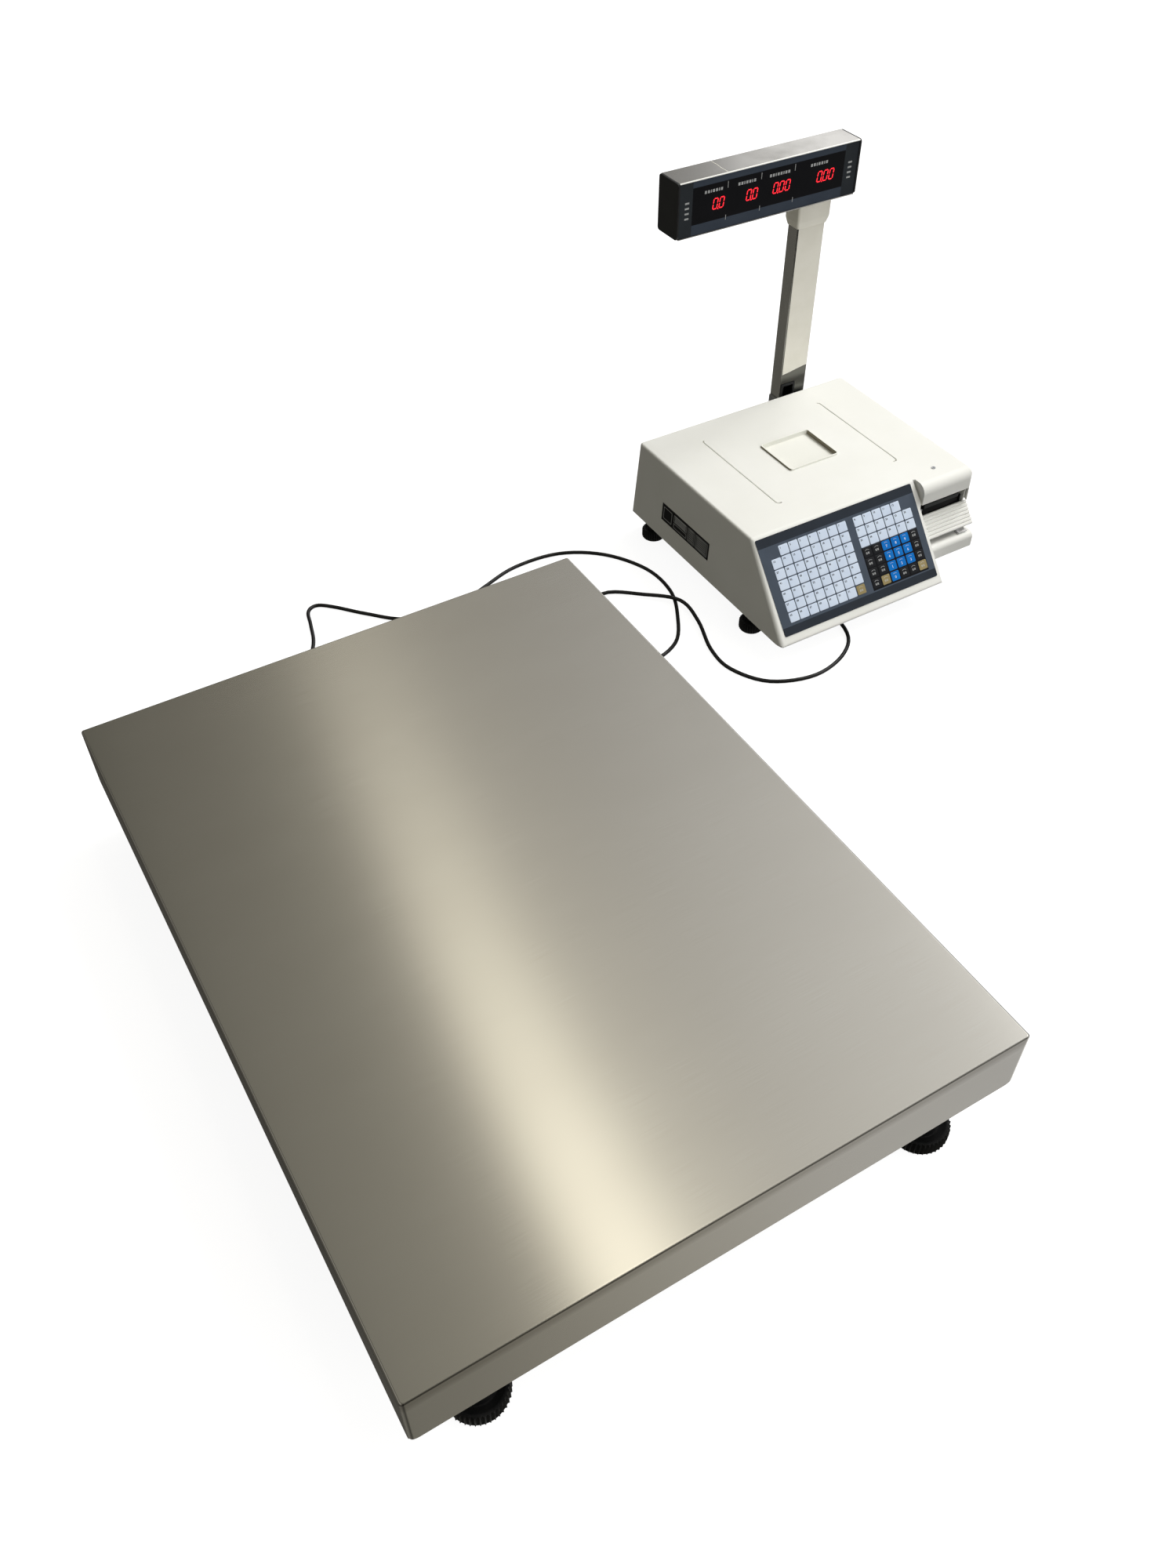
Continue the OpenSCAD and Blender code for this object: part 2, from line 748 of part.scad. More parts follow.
module pole_bracket() {
    t = 2.5;
    left = pole_x - t;
    right = pole_x + pole_w + t;
    color("silver") at_console() difference() {
        union() {
            box_from([left, pad_y, pole_foot_z], [right, pad_y + t, 122]);
            for (x = [left, right - t]) box_from([x, pad_y, pole_foot_z], [x + t, pole_y + pole_d - 2, 122]);
        }
        for (x = [262, 285], z = [50, 98]) rod_y(2 + fit_gap, 10, [x, pad_y - 3, z]);
        for (z = [60, 92]) rod_x(2.5 + fit_gap, pole_w + 20, [left - 5, pole_y + pole_d / 2, z]);
        rod_y(4.1, 10, [264, pad_y - 3, 112]);
    }
}

module pole() {
    t = 1.5;
    top = display_z - 2;
    color("silver") at_console() difference() {
        box_from([pole_x, pole_y, pole_foot_z], [pole_x + pole_w, pole_y + pole_d, top]);
        box_from([pole_x + t, pole_y + t, pole_foot_z - 1],
            [pole_x + pole_w - t, pole_y + pole_d - t, top + 1]);
        for (z = [60, 92]) rod_x(2.5 + fit_gap, pole_w + 2, [pole_x - 1, pole_y + pole_d / 2, z]);
        box_from([pole_x + 2, pole_y - 1, 104], [pole_x + 24, pole_y + t + 0.5, 143]);
    }
}

module pole_screws() {
    left = pole_x - 2.5;
    right = pole_x + pole_w + 2.5;
    color("gainsboro") at_console() {
        for (z = [60, 92]) {
            rod_x(2.5, right - left + 5, [left - 4, pole_y + pole_d / 2, z]);
            rod_x(4.5, 4, [right, pole_y + pole_d / 2, z]);
            translate([left - 4, pole_y + pole_d / 2, z]) rotate([0, 90, 0]) hex_nut(8, 4, 2.2);
        }
        for (x = [262, 285], z = [50, 98]) {
            rod_y(2, 14, [x, pad_y - 10, z]);
            rod_y(3.8, 2.5, [x, pad_y + 2.5, z]);
        }
    }
}

module pole_grommet() {
    color("black") at_console() difference() {
        union() {
            box_from([pole_x + 0.5, pole_y - 1.5, 102.5], [pole_x + 25.5, pole_y, 144.5]);
            box_from([pole_x + 2.1, pole_y - 0.5, 104.1], [pole_x + 23.9, pole_y + 3, 142.9]);
        }
        box_from([pole_x + 4, pole_y - 2, 106], [pole_x + 22, pole_y + 4, 141]);
    }
}

module display_lead() {
    x = pole_x + 13;
    color("black") at_console() rod_chain([[x, 0, 112], [x, pole_y + pole_d / 2, 112],
        [x, pole_y + pole_d / 2, display_z + 16]], 2.5);
}

module display_sleeve() {
    low_x = pole_x - sleeve_wall;
    high_x = pole_x + pole_w + sleeve_wall;
    low_y = pole_y - sleeve_wall;
    high_y = pole_y + pole_d + sleeve_wall;
    taper = 2.5;
    step = 10;
    color("ivory") at_console() difference() {
        intersection() {
            along_front(high_y, high_y - low_y) polygon([[low_x + taper, sleeve_z],
                [high_x - taper, sleeve_z], [high_x, sleeve_z + step], [high_x, display_z],
                [low_x, display_z], [low_x, sleeve_z + step]]);
            along_x(low_x, high_x - low_x) polygon([[low_y + taper, sleeve_z], [high_y - taper, sleeve_z],
                [high_y, sleeve_z + step], [high_y, display_z], [low_y, display_z],
                [low_y, sleeve_z + step]]);
        }
        box_from([pole_x - 0.1, pole_y - 0.1, sleeve_z - 1], [pole_x + pole_w + 0.1, pole_y + pole_d + 0.1,
            display_z - 1.9]);
        translate([pole_x + 13, pole_y + pole_d / 2, display_z - 3]) cylinder(r = 5, h = 5);
    }
}

// Stainless sheet folded round the top, the back and the underside of the display.
module display_housing() {
    t = 1.2;
    cap = 3;
    color("silver") at_console() difference() {
        box_from([display_x + cap, display_y, display_z],
            [display_x + display_w - cap, display_y + display_d, display_z + display_h]);
        box_from([display_x, display_y - 1, display_z + t],
            [display_x + display_w, display_y + display_d - t, display_z + display_h - t]);
        translate([pole_x + 13, pole_y + pole_d / 2, display_z - 1]) cylinder(r = 5, h = 5);
    }
}

module end_cap(x) {
    t = 3;
    r = 4;
    along_x(x, t) translate([display_y, display_z]) round_rect(display_d, display_h, r);
}

module display_end_left() {
    color("black") at_console() {
        end_cap(display_x);
        box_from([display_x + 2.9, display_y + 6, display_z + 4],
            [display_x + 12, display_y + display_d - 3, display_z + 6]);
    }
}

module display_end_right() {
    x = display_x + display_w - 3;
    color("black") at_console() {
        end_cap(x);
        box_from([x - 9, display_y + 6, display_z + 4], [x + 0.1, display_y + display_d - 3, display_z + 6]);
    }
}

module display_front() {
    color("darkslategray") at_console() box_from([display_x + 3.2, display_y + 0.8, display_z + 1.4],
        [display_x + display_w - 3.2, display_y + 3.3, display_z + display_h - 1.4]);
}

module display_board() {
    y = display_y + 12;
    color("darkgreen") at_console() {
        box_from([display_x + 26, y, display_z + 8], [display_x + 254, y + 1.6, display_z + 62]);
        for (x = [48, 98, 142, 210]) box_from([display_x + x, y - 8, display_z + 22],
            [display_x + x + 36, y + 0.1, display_z + 46]);
    }
}

// Printer

module case_screw() {
    color("gainsboro") at_console() translate([303, -254, 0]) {
        translate([0, 0, case_top]) difference() {
            cylinder(r = 2.8, h = 0.9);
            for (a = [0, 90]) rotate([0, 0, a]) translate([-1.8, -0.35, 0.4]) cube([3.6, 0.7, 1]);
        }
        translate([0, 0, case_top - 9]) cylinder(r = 1.6, h = 9.5);
    }
}

module print_head() {
    color("dimgray") at_console() {
        box_from([277, -277, platen_z + platen_r + 0.4], [337, -257, 103]);
        box_from([285, -262, 102], [329, -259, case_top - 9]);
        difference() {
            box_from([285, -262, case_top - 11], [329, -246, case_top - 9]);
            translate([303, -254, 100]) cylinder(r = 1.7, h = 40);
        }
        difference() {
            translate([303, -254, case_top - 9]) cylinder(r = 4, h = 6);
            translate([303, -254, 100]) cylinder(r = 1.7, h = 50);
        }
    }
}

// Side plates and floor of the drawer that carries the label roll.
module side_plate(x) {
    difference() {
        along_x(x, plate_t) polygon([[-284, 34], [-170, 34], [-170, 72], [-238, 98], [-276.8, 98], [-276.8, 88.4],
            [-284, 79.8]]);
        rod_x(2 + fit_gap, 20, [x - 5, platen_y, platen_z]);
        rod_x(3 + fit_gap, 20, [x - 5, roll_y, roll_z]);
        rod_x(2.5 + fit_gap, 20, [x - 5, spool_y, spool_z]);
    }
}

module cassette_frame() {
    floor_z = base_z + base_t + 1;
    color("silver") at_console() {
        difference() {
            side_plate(plate_left);
            rod_x(2, 20, [plate_left - 5, motor_y, motor_z]);
        }
        side_plate(plate_right);
        box_from([plate_left, -284, floor_z], [plate_right + plate_t, -170, floor_z + 1.5]);
    }
}

module cassette_front() {
    r = 3;
    color("ivory") at_console() difference() {
        union() {
            along_x(bay_left + 1, case_w - 2 - bay_left) translate([ledge_y, ledge_bottom])
                round_rect(ledge_back_y - ledge_y, ledge_z - ledge_bottom, r);
        }
        box_from([bay_left + 4, ledge_y + 3, ledge_bottom - 1], [case_w - 4, ledge_back_y - 3, ledge_z - 3]);
        // Well of the latch
        box_from([latch_x - 0.4, latch_y - 5, ledge_z - 4], [latch_x + latch_w + 0.4, latch_y + 7, ledge_z + 1]);
    }
}

// Ribbed ramp that the labels slide over, as steep as the keypad.
module label_guide() {
    ribs = 8;
    ramp_l = 34;
    t = 3;
    x0 = bay_left + 6;
    w = case_w + 1 - x0;
    relief_r = gear_m * (platen_teeth / 2 + 1.6);
    color("ivory") at_console() difference() {
        translate([x0, -280, platen_z]) rotate([slope_a, 0, 0]) {
            translate([0, -ramp_l, -t]) cube([w, ramp_l, t - 0.8]);
            for (i = [0:ribs - 1]) translate([0, -ramp_l * (i + 0.8) / ribs, -1])
                cube([w, ramp_l / ribs * 0.6, 1]);
        }
        // Room for the platen's gear
        rod_x(relief_r, gear_w + 1.4, [gear_x - 0.7, platen_y, platen_z]);
    }
    // Posts that stand on the cassette's front
    color("ivory") at_console() for (x = [plate_left + 4, plate_right + 2.5])
        box_from([x, -292, ledge_z], [x + 3, -286.5, 77]);
}

module cassette_latch() {
    color("gainsboro") at_console() {
        rod_x(1.5, latch_w, [latch_x, latch_y, latch_z + 1]);
        box_from([latch_x, latch_y - 1, latch_z + 1], [latch_x + latch_w, latch_y + 1, ledge_z + 3]);
        box_from([latch_x, latch_y - 8, ledge_z + 1.4], [latch_x + latch_w, latch_y + 1, ledge_z + 3]);
    }
}

module platen_roller() {
    color("black") at_console() {
        rod_x(2, plate_right + plate_t + 1.5 - gear_x, [gear_x, platen_y, platen_z]);
        rod_x(platen_r, plate_right - plate_left - plate_t - 4, [plate_left + plate_t + 2, platen_y, platen_z]);
    }
}

// A spur gear in the plane X = 0, thick along X. Tooth 0 points along +Z when phase is 0.
module spur_gear(teeth, phase, bore_r) {
    pitch_r = gear_m * teeth / 2;
    tip = pitch_r + 0.9 * gear_m;
    root = pitch_r - 1.15 * gear_m;
    half = 360 / teeth;
    rotate([90, 0, 90]) difference() {
        linear_extrude(gear_w) polygon([for (i = [0:teeth - 1], k = [[root, -0.36], [pitch_r, -0.22],
            [tip, -0.11], [tip, 0.11], [pitch_r, 0.22], [root, 0.36]])
            let (a = 90 + phase + half * (i + k[1])) [k[0] * cos(a), k[0] * sin(a)]]);
        translate([0, 0, -1]) cylinder(r = bore_r, h = gear_w + 2);
    }
}

module platen_gear() {
    color("white") at_console() translate([gear_x, platen_y, platen_z])
        spur_gear(platen_teeth, gear_phase(), 2);
}

// Direction from the platen's axis to the motor's, and the turn that puts a tooth of
// the platen gear on that line and a gap of the pinion opposite it.
function motor_dir() = atan2(motor_z - platen_z, motor_y - platen_y);
function gear_phase() = motor_dir() - 90;
function pinion_phase() = motor_dir() + 180 - 90 + 180 / pinion_teeth;

module motor_pinion() {
    color("khaki") at_console() translate([gear_x, motor_y, motor_z]) {
        spur_gear(pinion_teeth, pinion_phase(), 1.5);
        rod_x(1.5, plate_left + 1 - gear_x, [0, 0, 0]);
    }
}

module feed_motor() {
    x = plate_left + plate_t;
    color("gray") at_console() difference() {
        rod_x(10, 22, [x, motor_y, motor_z]);
        rod_x(2, 6, [x - 1, motor_y, motor_z]);
    }
}

module label_roll() {
    x = (plate_left + plate_t + plate_right) / 2 - roll_w / 2;
    color("white") at_console() difference() {
        rod_x(roll_r, roll_w, [x, roll_y, roll_z]);
        rod_x(12.7, roll_w + 2, [x - 1, roll_y, roll_z]);
    }
}

module roll_spindle() {
    x = (plate_left + plate_t + plate_right) / 2 - roll_w / 2;
    color("dimgray") at_console() {
        rod_x(3, plate_right + plate_t + 1 - plate_left + 1, [plate_left - 1, roll_y, roll_z]);
        rod_x(12.7, roll_w, [x, roll_y, roll_z]);
        rod_x(20, 1.5, [x - 1.5, roll_y, roll_z]);
        rod_x(20, 1.5, [x + roll_w, roll_y, roll_z]);
    }
}

module take_up_spool() {
    color("dimgray") at_console() {
        rod_x(2.5, plate_right + plate_t + 1 - plate_left + 1, [plate_left - 1, spool_y, spool_z]);
        rod_x(7, roll_w, [(plate_left + plate_t + plate_right) / 2 - roll_w / 2, spool_y, spool_z]);
        for (x = [plate_left + plate_t + 1.5, plate_right - 3]) rod_x(10, 1.5, [x, spool_y, spool_z]);
    }
}

platform_cover();
cover_pads();
upper_left_rail();
upper_right_rail();
upper_centre_beam();
load_cell();
load_cell_bolts();
load_cell_lead();
overload_stops();
lower_left_rail();
lower_right_rail();
lower_front_tube();
lower_rear_tube();
lower_centre_beam();
platform_foot_front_left();
platform_foot_front_right();
platform_foot_rear_left();
platform_foot_rear_right();
platform_foot_nuts();
platform_gland();
signal_cable();
console_case();
console_base();
seat_insert();
keypad_overlay();
keypad_keys();
rating_plate();
console_foot_front_left();
console_foot_front_right();
console_foot_rear_left();
console_foot_rear_right();
main_board();
power_supply();
mains_inlet();
power_switch();
console_gland();
pole_bracket();
pole();
pole_screws();
pole_grommet();
display_lead();
display_sleeve();
display_housing();
display_end_left();
display_end_right();
display_front();
display_board();
case_screw();
print_head();
cassette_frame();
cassette_front();
label_guide();
cassette_latch();
platen_roller();
platen_gear();
feed_motor();
motor_pinion();
label_roll();
roll_spindle();
take_up_spool();
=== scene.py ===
import json
import math
import bmesh
import bpy
from mathutils import Matrix, Vector


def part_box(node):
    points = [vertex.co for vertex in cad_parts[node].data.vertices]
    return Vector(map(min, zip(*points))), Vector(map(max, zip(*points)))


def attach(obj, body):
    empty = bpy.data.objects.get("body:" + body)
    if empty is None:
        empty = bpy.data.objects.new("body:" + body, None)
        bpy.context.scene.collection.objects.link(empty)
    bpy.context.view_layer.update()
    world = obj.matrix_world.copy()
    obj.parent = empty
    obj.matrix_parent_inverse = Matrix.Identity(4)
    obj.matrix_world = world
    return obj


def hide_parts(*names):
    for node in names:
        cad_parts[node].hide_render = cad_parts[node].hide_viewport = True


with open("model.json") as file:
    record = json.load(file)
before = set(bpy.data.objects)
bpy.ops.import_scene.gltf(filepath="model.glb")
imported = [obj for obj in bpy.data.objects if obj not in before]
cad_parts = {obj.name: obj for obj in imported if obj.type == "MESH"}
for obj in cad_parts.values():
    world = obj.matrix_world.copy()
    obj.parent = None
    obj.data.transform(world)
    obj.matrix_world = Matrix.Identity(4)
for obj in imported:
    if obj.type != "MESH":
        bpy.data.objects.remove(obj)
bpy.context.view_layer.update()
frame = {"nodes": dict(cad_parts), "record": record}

# Lengths are millimetres until the mesh is made. +X is right, +Y is back, +Z is up.
MM = 0.001
SIN = math.sin
COS = math.cos
PI = math.pi

# Origins: the platform's front left corner, and the console top's back left corner,
# both on the floor.
cover_low, cover_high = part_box("platform_cover")
case_low, case_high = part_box("console_case")
CASE_LEAN_SIDE = 6
CASE_PADS_BACK = 7.5
PLATFORM = Vector((cover_low.x / MM, cover_low.y / MM, 0))
CONSOLE = Vector((case_low.x / MM + CASE_LEAN_SIDE, case_high.y / MM - CASE_PADS_BACK, 0))


def add_object(name, data):
    """Makes an object from its data and puts it in the scene."""
    made = bpy.data.objects.new(name, data)
    bpy.context.scene.collection.objects.link(made)
    return made


# ---------------------------------------------------------------- camera

EYE = Vector((-50.35, -349.08, 1117.66))
AIM = Vector((446.4, 492.3, 100))
ROLL_DEG = -0.17
LENS_MM = 30.27
SENSOR_MM = 36
CLIP_END_M = 50

camera_data = bpy.data.cameras.new("camera")
camera_data.lens = LENS_MM
camera_data.sensor_width = SENSOR_MM
camera_data.clip_end = CLIP_END_M
camera = add_object("camera", camera_data)
look = (AIM - EYE).to_track_quat("-Z", "Y").to_matrix().to_4x4()
spin = Matrix.Rotation(math.radians(ROLL_DEG), 4, "Z")
camera.matrix_world = Matrix.Translation((EYE + PLATFORM) * MM) @ look @ spin
bpy.context.scene.camera = camera


# ---------------------------------------------------------------- signal cable

CABLE_R = 2.5
ROUTE = [
    (245, 797, 59.5), (246, 825, 54), (250, 852, 30), (258, 880, 9), (285, 925, 3.3),
    (315, 974, 2.65), (327, 1012, 2.6), (335, 1040, 2.6), (350, 1047, 2.6), (369, 1032, 2.6),
    (400, 997, 2.6), (440, 960, 2.6), (500, 944, 2.6), (560, 966, 2.6), (620, 985, 2.6),
    (688, 981, 2.6), (742, 946, 2.6), (775, 888, 2.6), (777, 830, 2.6), (756, 780, 2.6),
    (722, 734, 2.6), (672, 722, 2.6), (638, 768, 2.6), (646, 836, 2.65), (694, 871, 2.95),
    (740, 838, 5.4), (773, 800, 8), (772, 755, 4.6), (755, 700, 2.95), (755, 655, 2.62),
    (784, 610, 2.6), (842, 590, 2.6), (900, 606, 2.6), (931, 645, 2.6), (935, 730, 2.6),
    (933, 860, 2.6), (933, 950, 2.65), (933, 995, 3.1), (933, 1024, 6.5), (933, 1041, 17),
    (933, 1045, 30), (933, 1037, 42), (933, 1021, 48.6), (933, 1004.5, 50),
]
CURVE_STEPS = 6


def route_point(i, t):
    """A point of the smooth curve through the route, t of the way from point i to the next."""
    last = len(ROUTE) - 1
    a, b, c, d = (Vector(ROUTE[min(max(k, 0), last)]) for k in (i - 1, i, i + 1, i + 2))
    return b + 0.5 * t * ((c - a) + t * ((2 * a - 5 * b + 4 * c - d) + t * (3 * b - a - 3 * c + d)))


cable_line = [route_point(i, k / CURVE_STEPS)
              for i in range(len(ROUTE) - 1) for k in range(CURVE_STEPS)]
cable_line.append(Vector(ROUTE[-1]))
cable_line = [(p + PLATFORM) * MM for p in cable_line]
cable_length = sum((b - a).length for a, b in zip(cable_line, cable_line[1:]))


def tube_mesh(name, line, r, sides=14):
    """A round tube of radius r along a line of points, in metres, with closed ends."""
    points, faces = [], []
    side = Vector((1, 0, 0))
    for i, place in enumerate(line):
        way = (line[min(i + 1, len(line) - 1)] - line[max(i - 1, 0)]).normalized()
        side = (side - way * side.dot(way)).normalized()
        other = way.cross(side)
        points += [place + r * (COS(2 * PI * k / sides) * side + SIN(2 * PI * k / sides) * other)
                   for k in range(sides)]
    for i in range(len(line) - 1):
        a, b = i * sides, (i + 1) * sides
        faces += [[a + k, a + (k + 1) % sides, b + (k + 1) % sides, b + k] for k in range(sides)]
    faces += [list(range(sides))[::-1], [len(points) - sides + k for k in range(sides)]]
    mesh = bpy.data.meshes.new(name)
    mesh.from_pydata(points, [], faces)
    mesh.shade_smooth()
    mesh.set_sharp_from_angle(angle=math.radians(50))
    return add_object(name, mesh)


cable = tube_mesh("signal_cable_jacket", cable_line, CABLE_R * MM)
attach(cable, "base")
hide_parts("signal_cable")
tuple(cable_line[0])
[tuple(p) for p in cable_line]


# ---------------------------------------------------------------- materials

def linear(*rgb):
    """An sRGB colour given in 0 to 255 as linear RGBA."""
    out = []
    for value in rgb:
        value /= 255
        out.append(value / 12.92 if value <= 0.04045 else ((value + 0.055) / 1.055) ** 2.4)
    return (*out, 1)


class Graph:
    """A tree of shader nodes, with helpers that add to it."""

    def __init__(self, tree):
        self.tree = tree

    def feed(self, socket, value):
        """Links another node's output to a socket, or sets the socket's constant."""
        if isinstance(value, bpy.types.NodeSocket):
            self.tree.links.new(value, socket)
        else:
            socket.default_value = value

    def node(self, kind, **inputs):
        made = self.tree.nodes.new("ShaderNode" + kind)
        for key, value in inputs.items():
            self.feed(made.inputs[key.replace("_", " ")], value)
        return made

    def ramp(self, source, low, high, low_at=0.0, high_at=1.0):
        """Turns low_at to high_at of the source into low to high."""
        made = self.node("MapRange", Value=source, From_Min=low_at, From_Max=high_at,
                         To_Min=low, To_Max=high)
        return made.outputs["Result"]

    def blend(self, factor, color_a, color_b):
        made = self.tree.nodes.new("ShaderNodeMix")
        made.data_type = "RGBA"
        for place, value in ((0, factor), (6, color_a), (7, color_b)):
            self.feed(made.inputs[place], value)
        return made.outputs[2]

    def math(self, operation, *values, kind="Math"):
        made = self.tree.nodes.new("ShaderNode" + kind)
        made.operation = operation
        for socket, value in zip(made.inputs, values):
            self.feed(socket, value)
        return made.outputs[0]


M = {}


class Shade(Graph):
    """A material in M with one Principled shader. It takes the shader's sockets by name."""

    def __init__(self, name, color, roughness, metallic=0, **sockets):
        M[name] = bpy.data.materials.new(name)
        M[name].use_nodes = True
        super().__init__(M[name].node_tree)
        self.shader = self.tree.nodes["Principled BSDF"]
        self.color = color
        self.put("Base Color", color)
        self.put("Roughness", roughness)
        self.put("Metallic", metallic)
        for key, value in sockets.items():
            self.put(key.replace("_", " "), value)

    def put(self, socket, value):
        self.feed(self.shader.inputs[socket], value)

    def place(self, stretch=(1, 1, 1)):
        """Coordinates on the object in metres, stretched along the axes."""
        spot = self.node("TexCoord").outputs["Object"]
        return self.node("Mapping", Vector=spot, Scale=stretch).outputs["Vector"]

    def true_normal(self):
        return self.node("NewGeometry").outputs["True Normal"]

    def facing(self, axis):
        """How far the face looks along an axis, from -1 to 1."""
        return self.node("SeparateXYZ", Vector=self.true_normal()).outputs[axis]

    def noise(self, scale, detail=2, stretch=(1, 1, 1)):
        made = self.node("TexNoise", Scale=scale, Detail=detail, Vector=self.place(stretch))
        return made.outputs["Fac"]

    def tone(self, source, other, low_at=0.35, high_at=0.65):
        """The colour, wandering to the other colour with the source."""
        return self.blend(self.ramp(source, 0, 1, low_at, high_at), self.color, other)

    def bump(self, source, depth_mm, strength=1.0):
        made = self.node("Bump", Strength=strength, Distance=depth_mm * MM, Height=source)
        self.put("Normal", made.outputs["Normal"])


def brushed_steel():
    s = Shade("brushed_stainless", linear(208, 206, 199), 0.23, 1, Anisotropic=1.0)
    grain = s.noise(2600, 2, (0.008, 1, 1))
    broad = s.noise(14, 2, (0.3, 1, 1))
    tone = s.blend(s.ramp(grain, 0, 1, 0.3, 0.7), linear(205, 202, 195), linear(210, 208, 202))
    tone = s.blend(s.ramp(broad, 0, 0.4, 0.3, 0.75), tone, linear(202, 199, 192))
    # Painted shade: the skirt is a little darker in a band just below where the top turns down, standing in
    # for the dim reflection there.
    level = s.node("SeparateXYZ", Vector=s.place()).outputs["Z"]
    bend_shade = s.ramp(level, 0, 1, 0.128, 0.138)
    bend_shade = s.ramp(s.facing("Z"), bend_shade, 0, 0.5, 0.9)
    s.put("Base Color", s.blend(bend_shade, tone, linear(176, 172, 164)))
    s.put("Roughness", s.ramp(grain, 0.215, 0.24, 0.3, 0.7))
    # The highlight runs square to the grain, which lies along X.
    grain_way = s.node("CombineXYZ", X=1.0).outputs["Vector"]
    cross = s.math("CROSS_PRODUCT", grain_way, s.true_normal(), kind="VectorMath")
    s.put("Tangent", s.math("ADD", cross, (0, 0.03, 0), kind="VectorMath"))
    s.bump(grain, 0.0008)


def pole_steel():
    """Half-bright steel whose forward-facing faces are painted darker: a painted reflection of the dark room,
    which the lower end, bare of film, mirrors.
    """
    s = Shade("pole_stainless", linear(204, 203, 199), 0.24, 1)
    tone = s.tone(s.noise(22, 4, (1, 1, 0.4)), linear(188, 187, 183), 0.4, 0.62)
    # Painted reflection: faces that look forward blend towards a dark grey.
    front = s.ramp(s.facing("Y"), 1, 0, -0.9, -0.3)
    s.put("Base Color", s.blend(front, tone, linear(112, 112, 108)))
    s.bump(s.noise(60, 2), 0.04, 0.4)


def seat_plastic():
    """The case's plastic, with its walls that face left painted dark olive: painted shade, as those walls
    stand in shadow away from the key light.
    """
    s = Shade("seat_abs", linear(240, 240, 233), 0.42)
    tone = s.tone(s.noise(9, 4), linear(236, 236, 228))
    # Painted shade on the walls that face left, away from the key light.
    left_wall_shade = s.ramp(s.facing("X"), 1, 0, -0.9, -0.4)
    s.put("Base Color", s.blend(left_wall_shade, tone, linear(128, 121, 100)))


def case_plastic():
    s = Shade("ivory_abs", linear(240, 240, 235), 0.42)
    s.put("Base Color", s.tone(s.noise(9, 4), linear(236, 236, 230)))
    s.put("Roughness", s.ramp(s.noise(120, 3), 0.36, 0.48))
    s.bump(s.noise(1500, 2), 0.012, 0.6)


def clear_plastic():
    s = Shade("clear_latch", (0.95, 0.95, 0.95, 1), 0.12, IOR=1.49, Transmission_Weight=0.35)
    s.put("Base Color", s.tone(s.noise(60, 2), (0.9, 0.9, 0.9, 1)))


def mottled(name, color, other, roughness, noise, metallic=0, wander=(), rough=(), bump=(), **sockets):
    """A material whose colour wanders between two tones with a noise. Its roughness may
    follow the noise too, and bump is a finer noise with its depth and strength."""
    s = Shade(name, linear(*color), roughness, metallic, **sockets)
    source = s.noise(*noise)
    s.put("Base Color", s.tone(source, linear(*other), *wander))
    if rough:
        s.put("Roughness", s.ramp(source, *rough))
    if bump:
        s.bump(s.noise(*bump[0]), *bump[1:])


brushed_steel()
pole_steel()
seat_plastic()
case_plastic()
clear_plastic()
mottled("bright_stainless", (218, 216, 212), (194, 192, 187), 0.2, (14, 3, (1, 1, 0.5)), 1,
        wander=(0.4, 0.62), rough=(0.1, 0.24, 0.35, 0.65), bump=((30, 1), 0.02, 0.3))
# Painted highlight: paler, half-metal steel for the display's front fold, bright under the key light.
mottled("fold_highlight", (236, 236, 232), (226, 226, 221), 0.3, (40, 2, (0.1, 1, 1)), 0.35)
mottled("painted_frame_steel", (118, 121, 124), (104, 107, 110), 0.5, (18, 5), bump=((700, 2), 0.03))
mottled("machined_aluminium", (196, 197, 200), (178, 179, 183), 0.34, (500, 2, (0.05, 1, 1)), 1,
        rough=(0.26, 0.42))
mottled("black_rubber", (15, 16, 17), (32, 32, 32), 0.5, (45, 5), wander=(0.5, 0.75),
        rough=(0.45, 0.7), bump=((900, 2), 0.04))
mottled("cable_jacket", (16, 16, 17), (24, 24, 25), 0.34, (60, 3), bump=((300, 2), 0.02))
mottled("zinc_steel", (186, 188, 190), (164, 167, 170), 0.32, (160, 3), 1, rough=(0.22, 0.42))
mottled("black_plastic", (24, 25, 27), (31, 32, 34), 0.42, (30, 4), bump=((1400, 2), 0.02))
mottled("switch_red", (176, 24, 22), (164, 20, 18), 0.2, (80, 2))
mottled("circuit_board", (24, 92, 48), (18, 74, 38), 0.35, (240, 2, (1, 0.2, 1)), wander=(0.45, 0.55))
mottled("white_nylon", (232, 230, 218), (222, 220, 206), 0.45, (60, 3))
mottled("label_paper", (243, 243, 240), (226, 226, 222), 0.6, (4000, 1, (0.001, 1, 1)),
        wander=(0.45, 0.55))
mottled("lit_segments", (255, 40, 50), (255, 56, 60), 0.4, (900, 1),
        Emission_Color=linear(255, 34, 52), Emission_Strength=1.2)
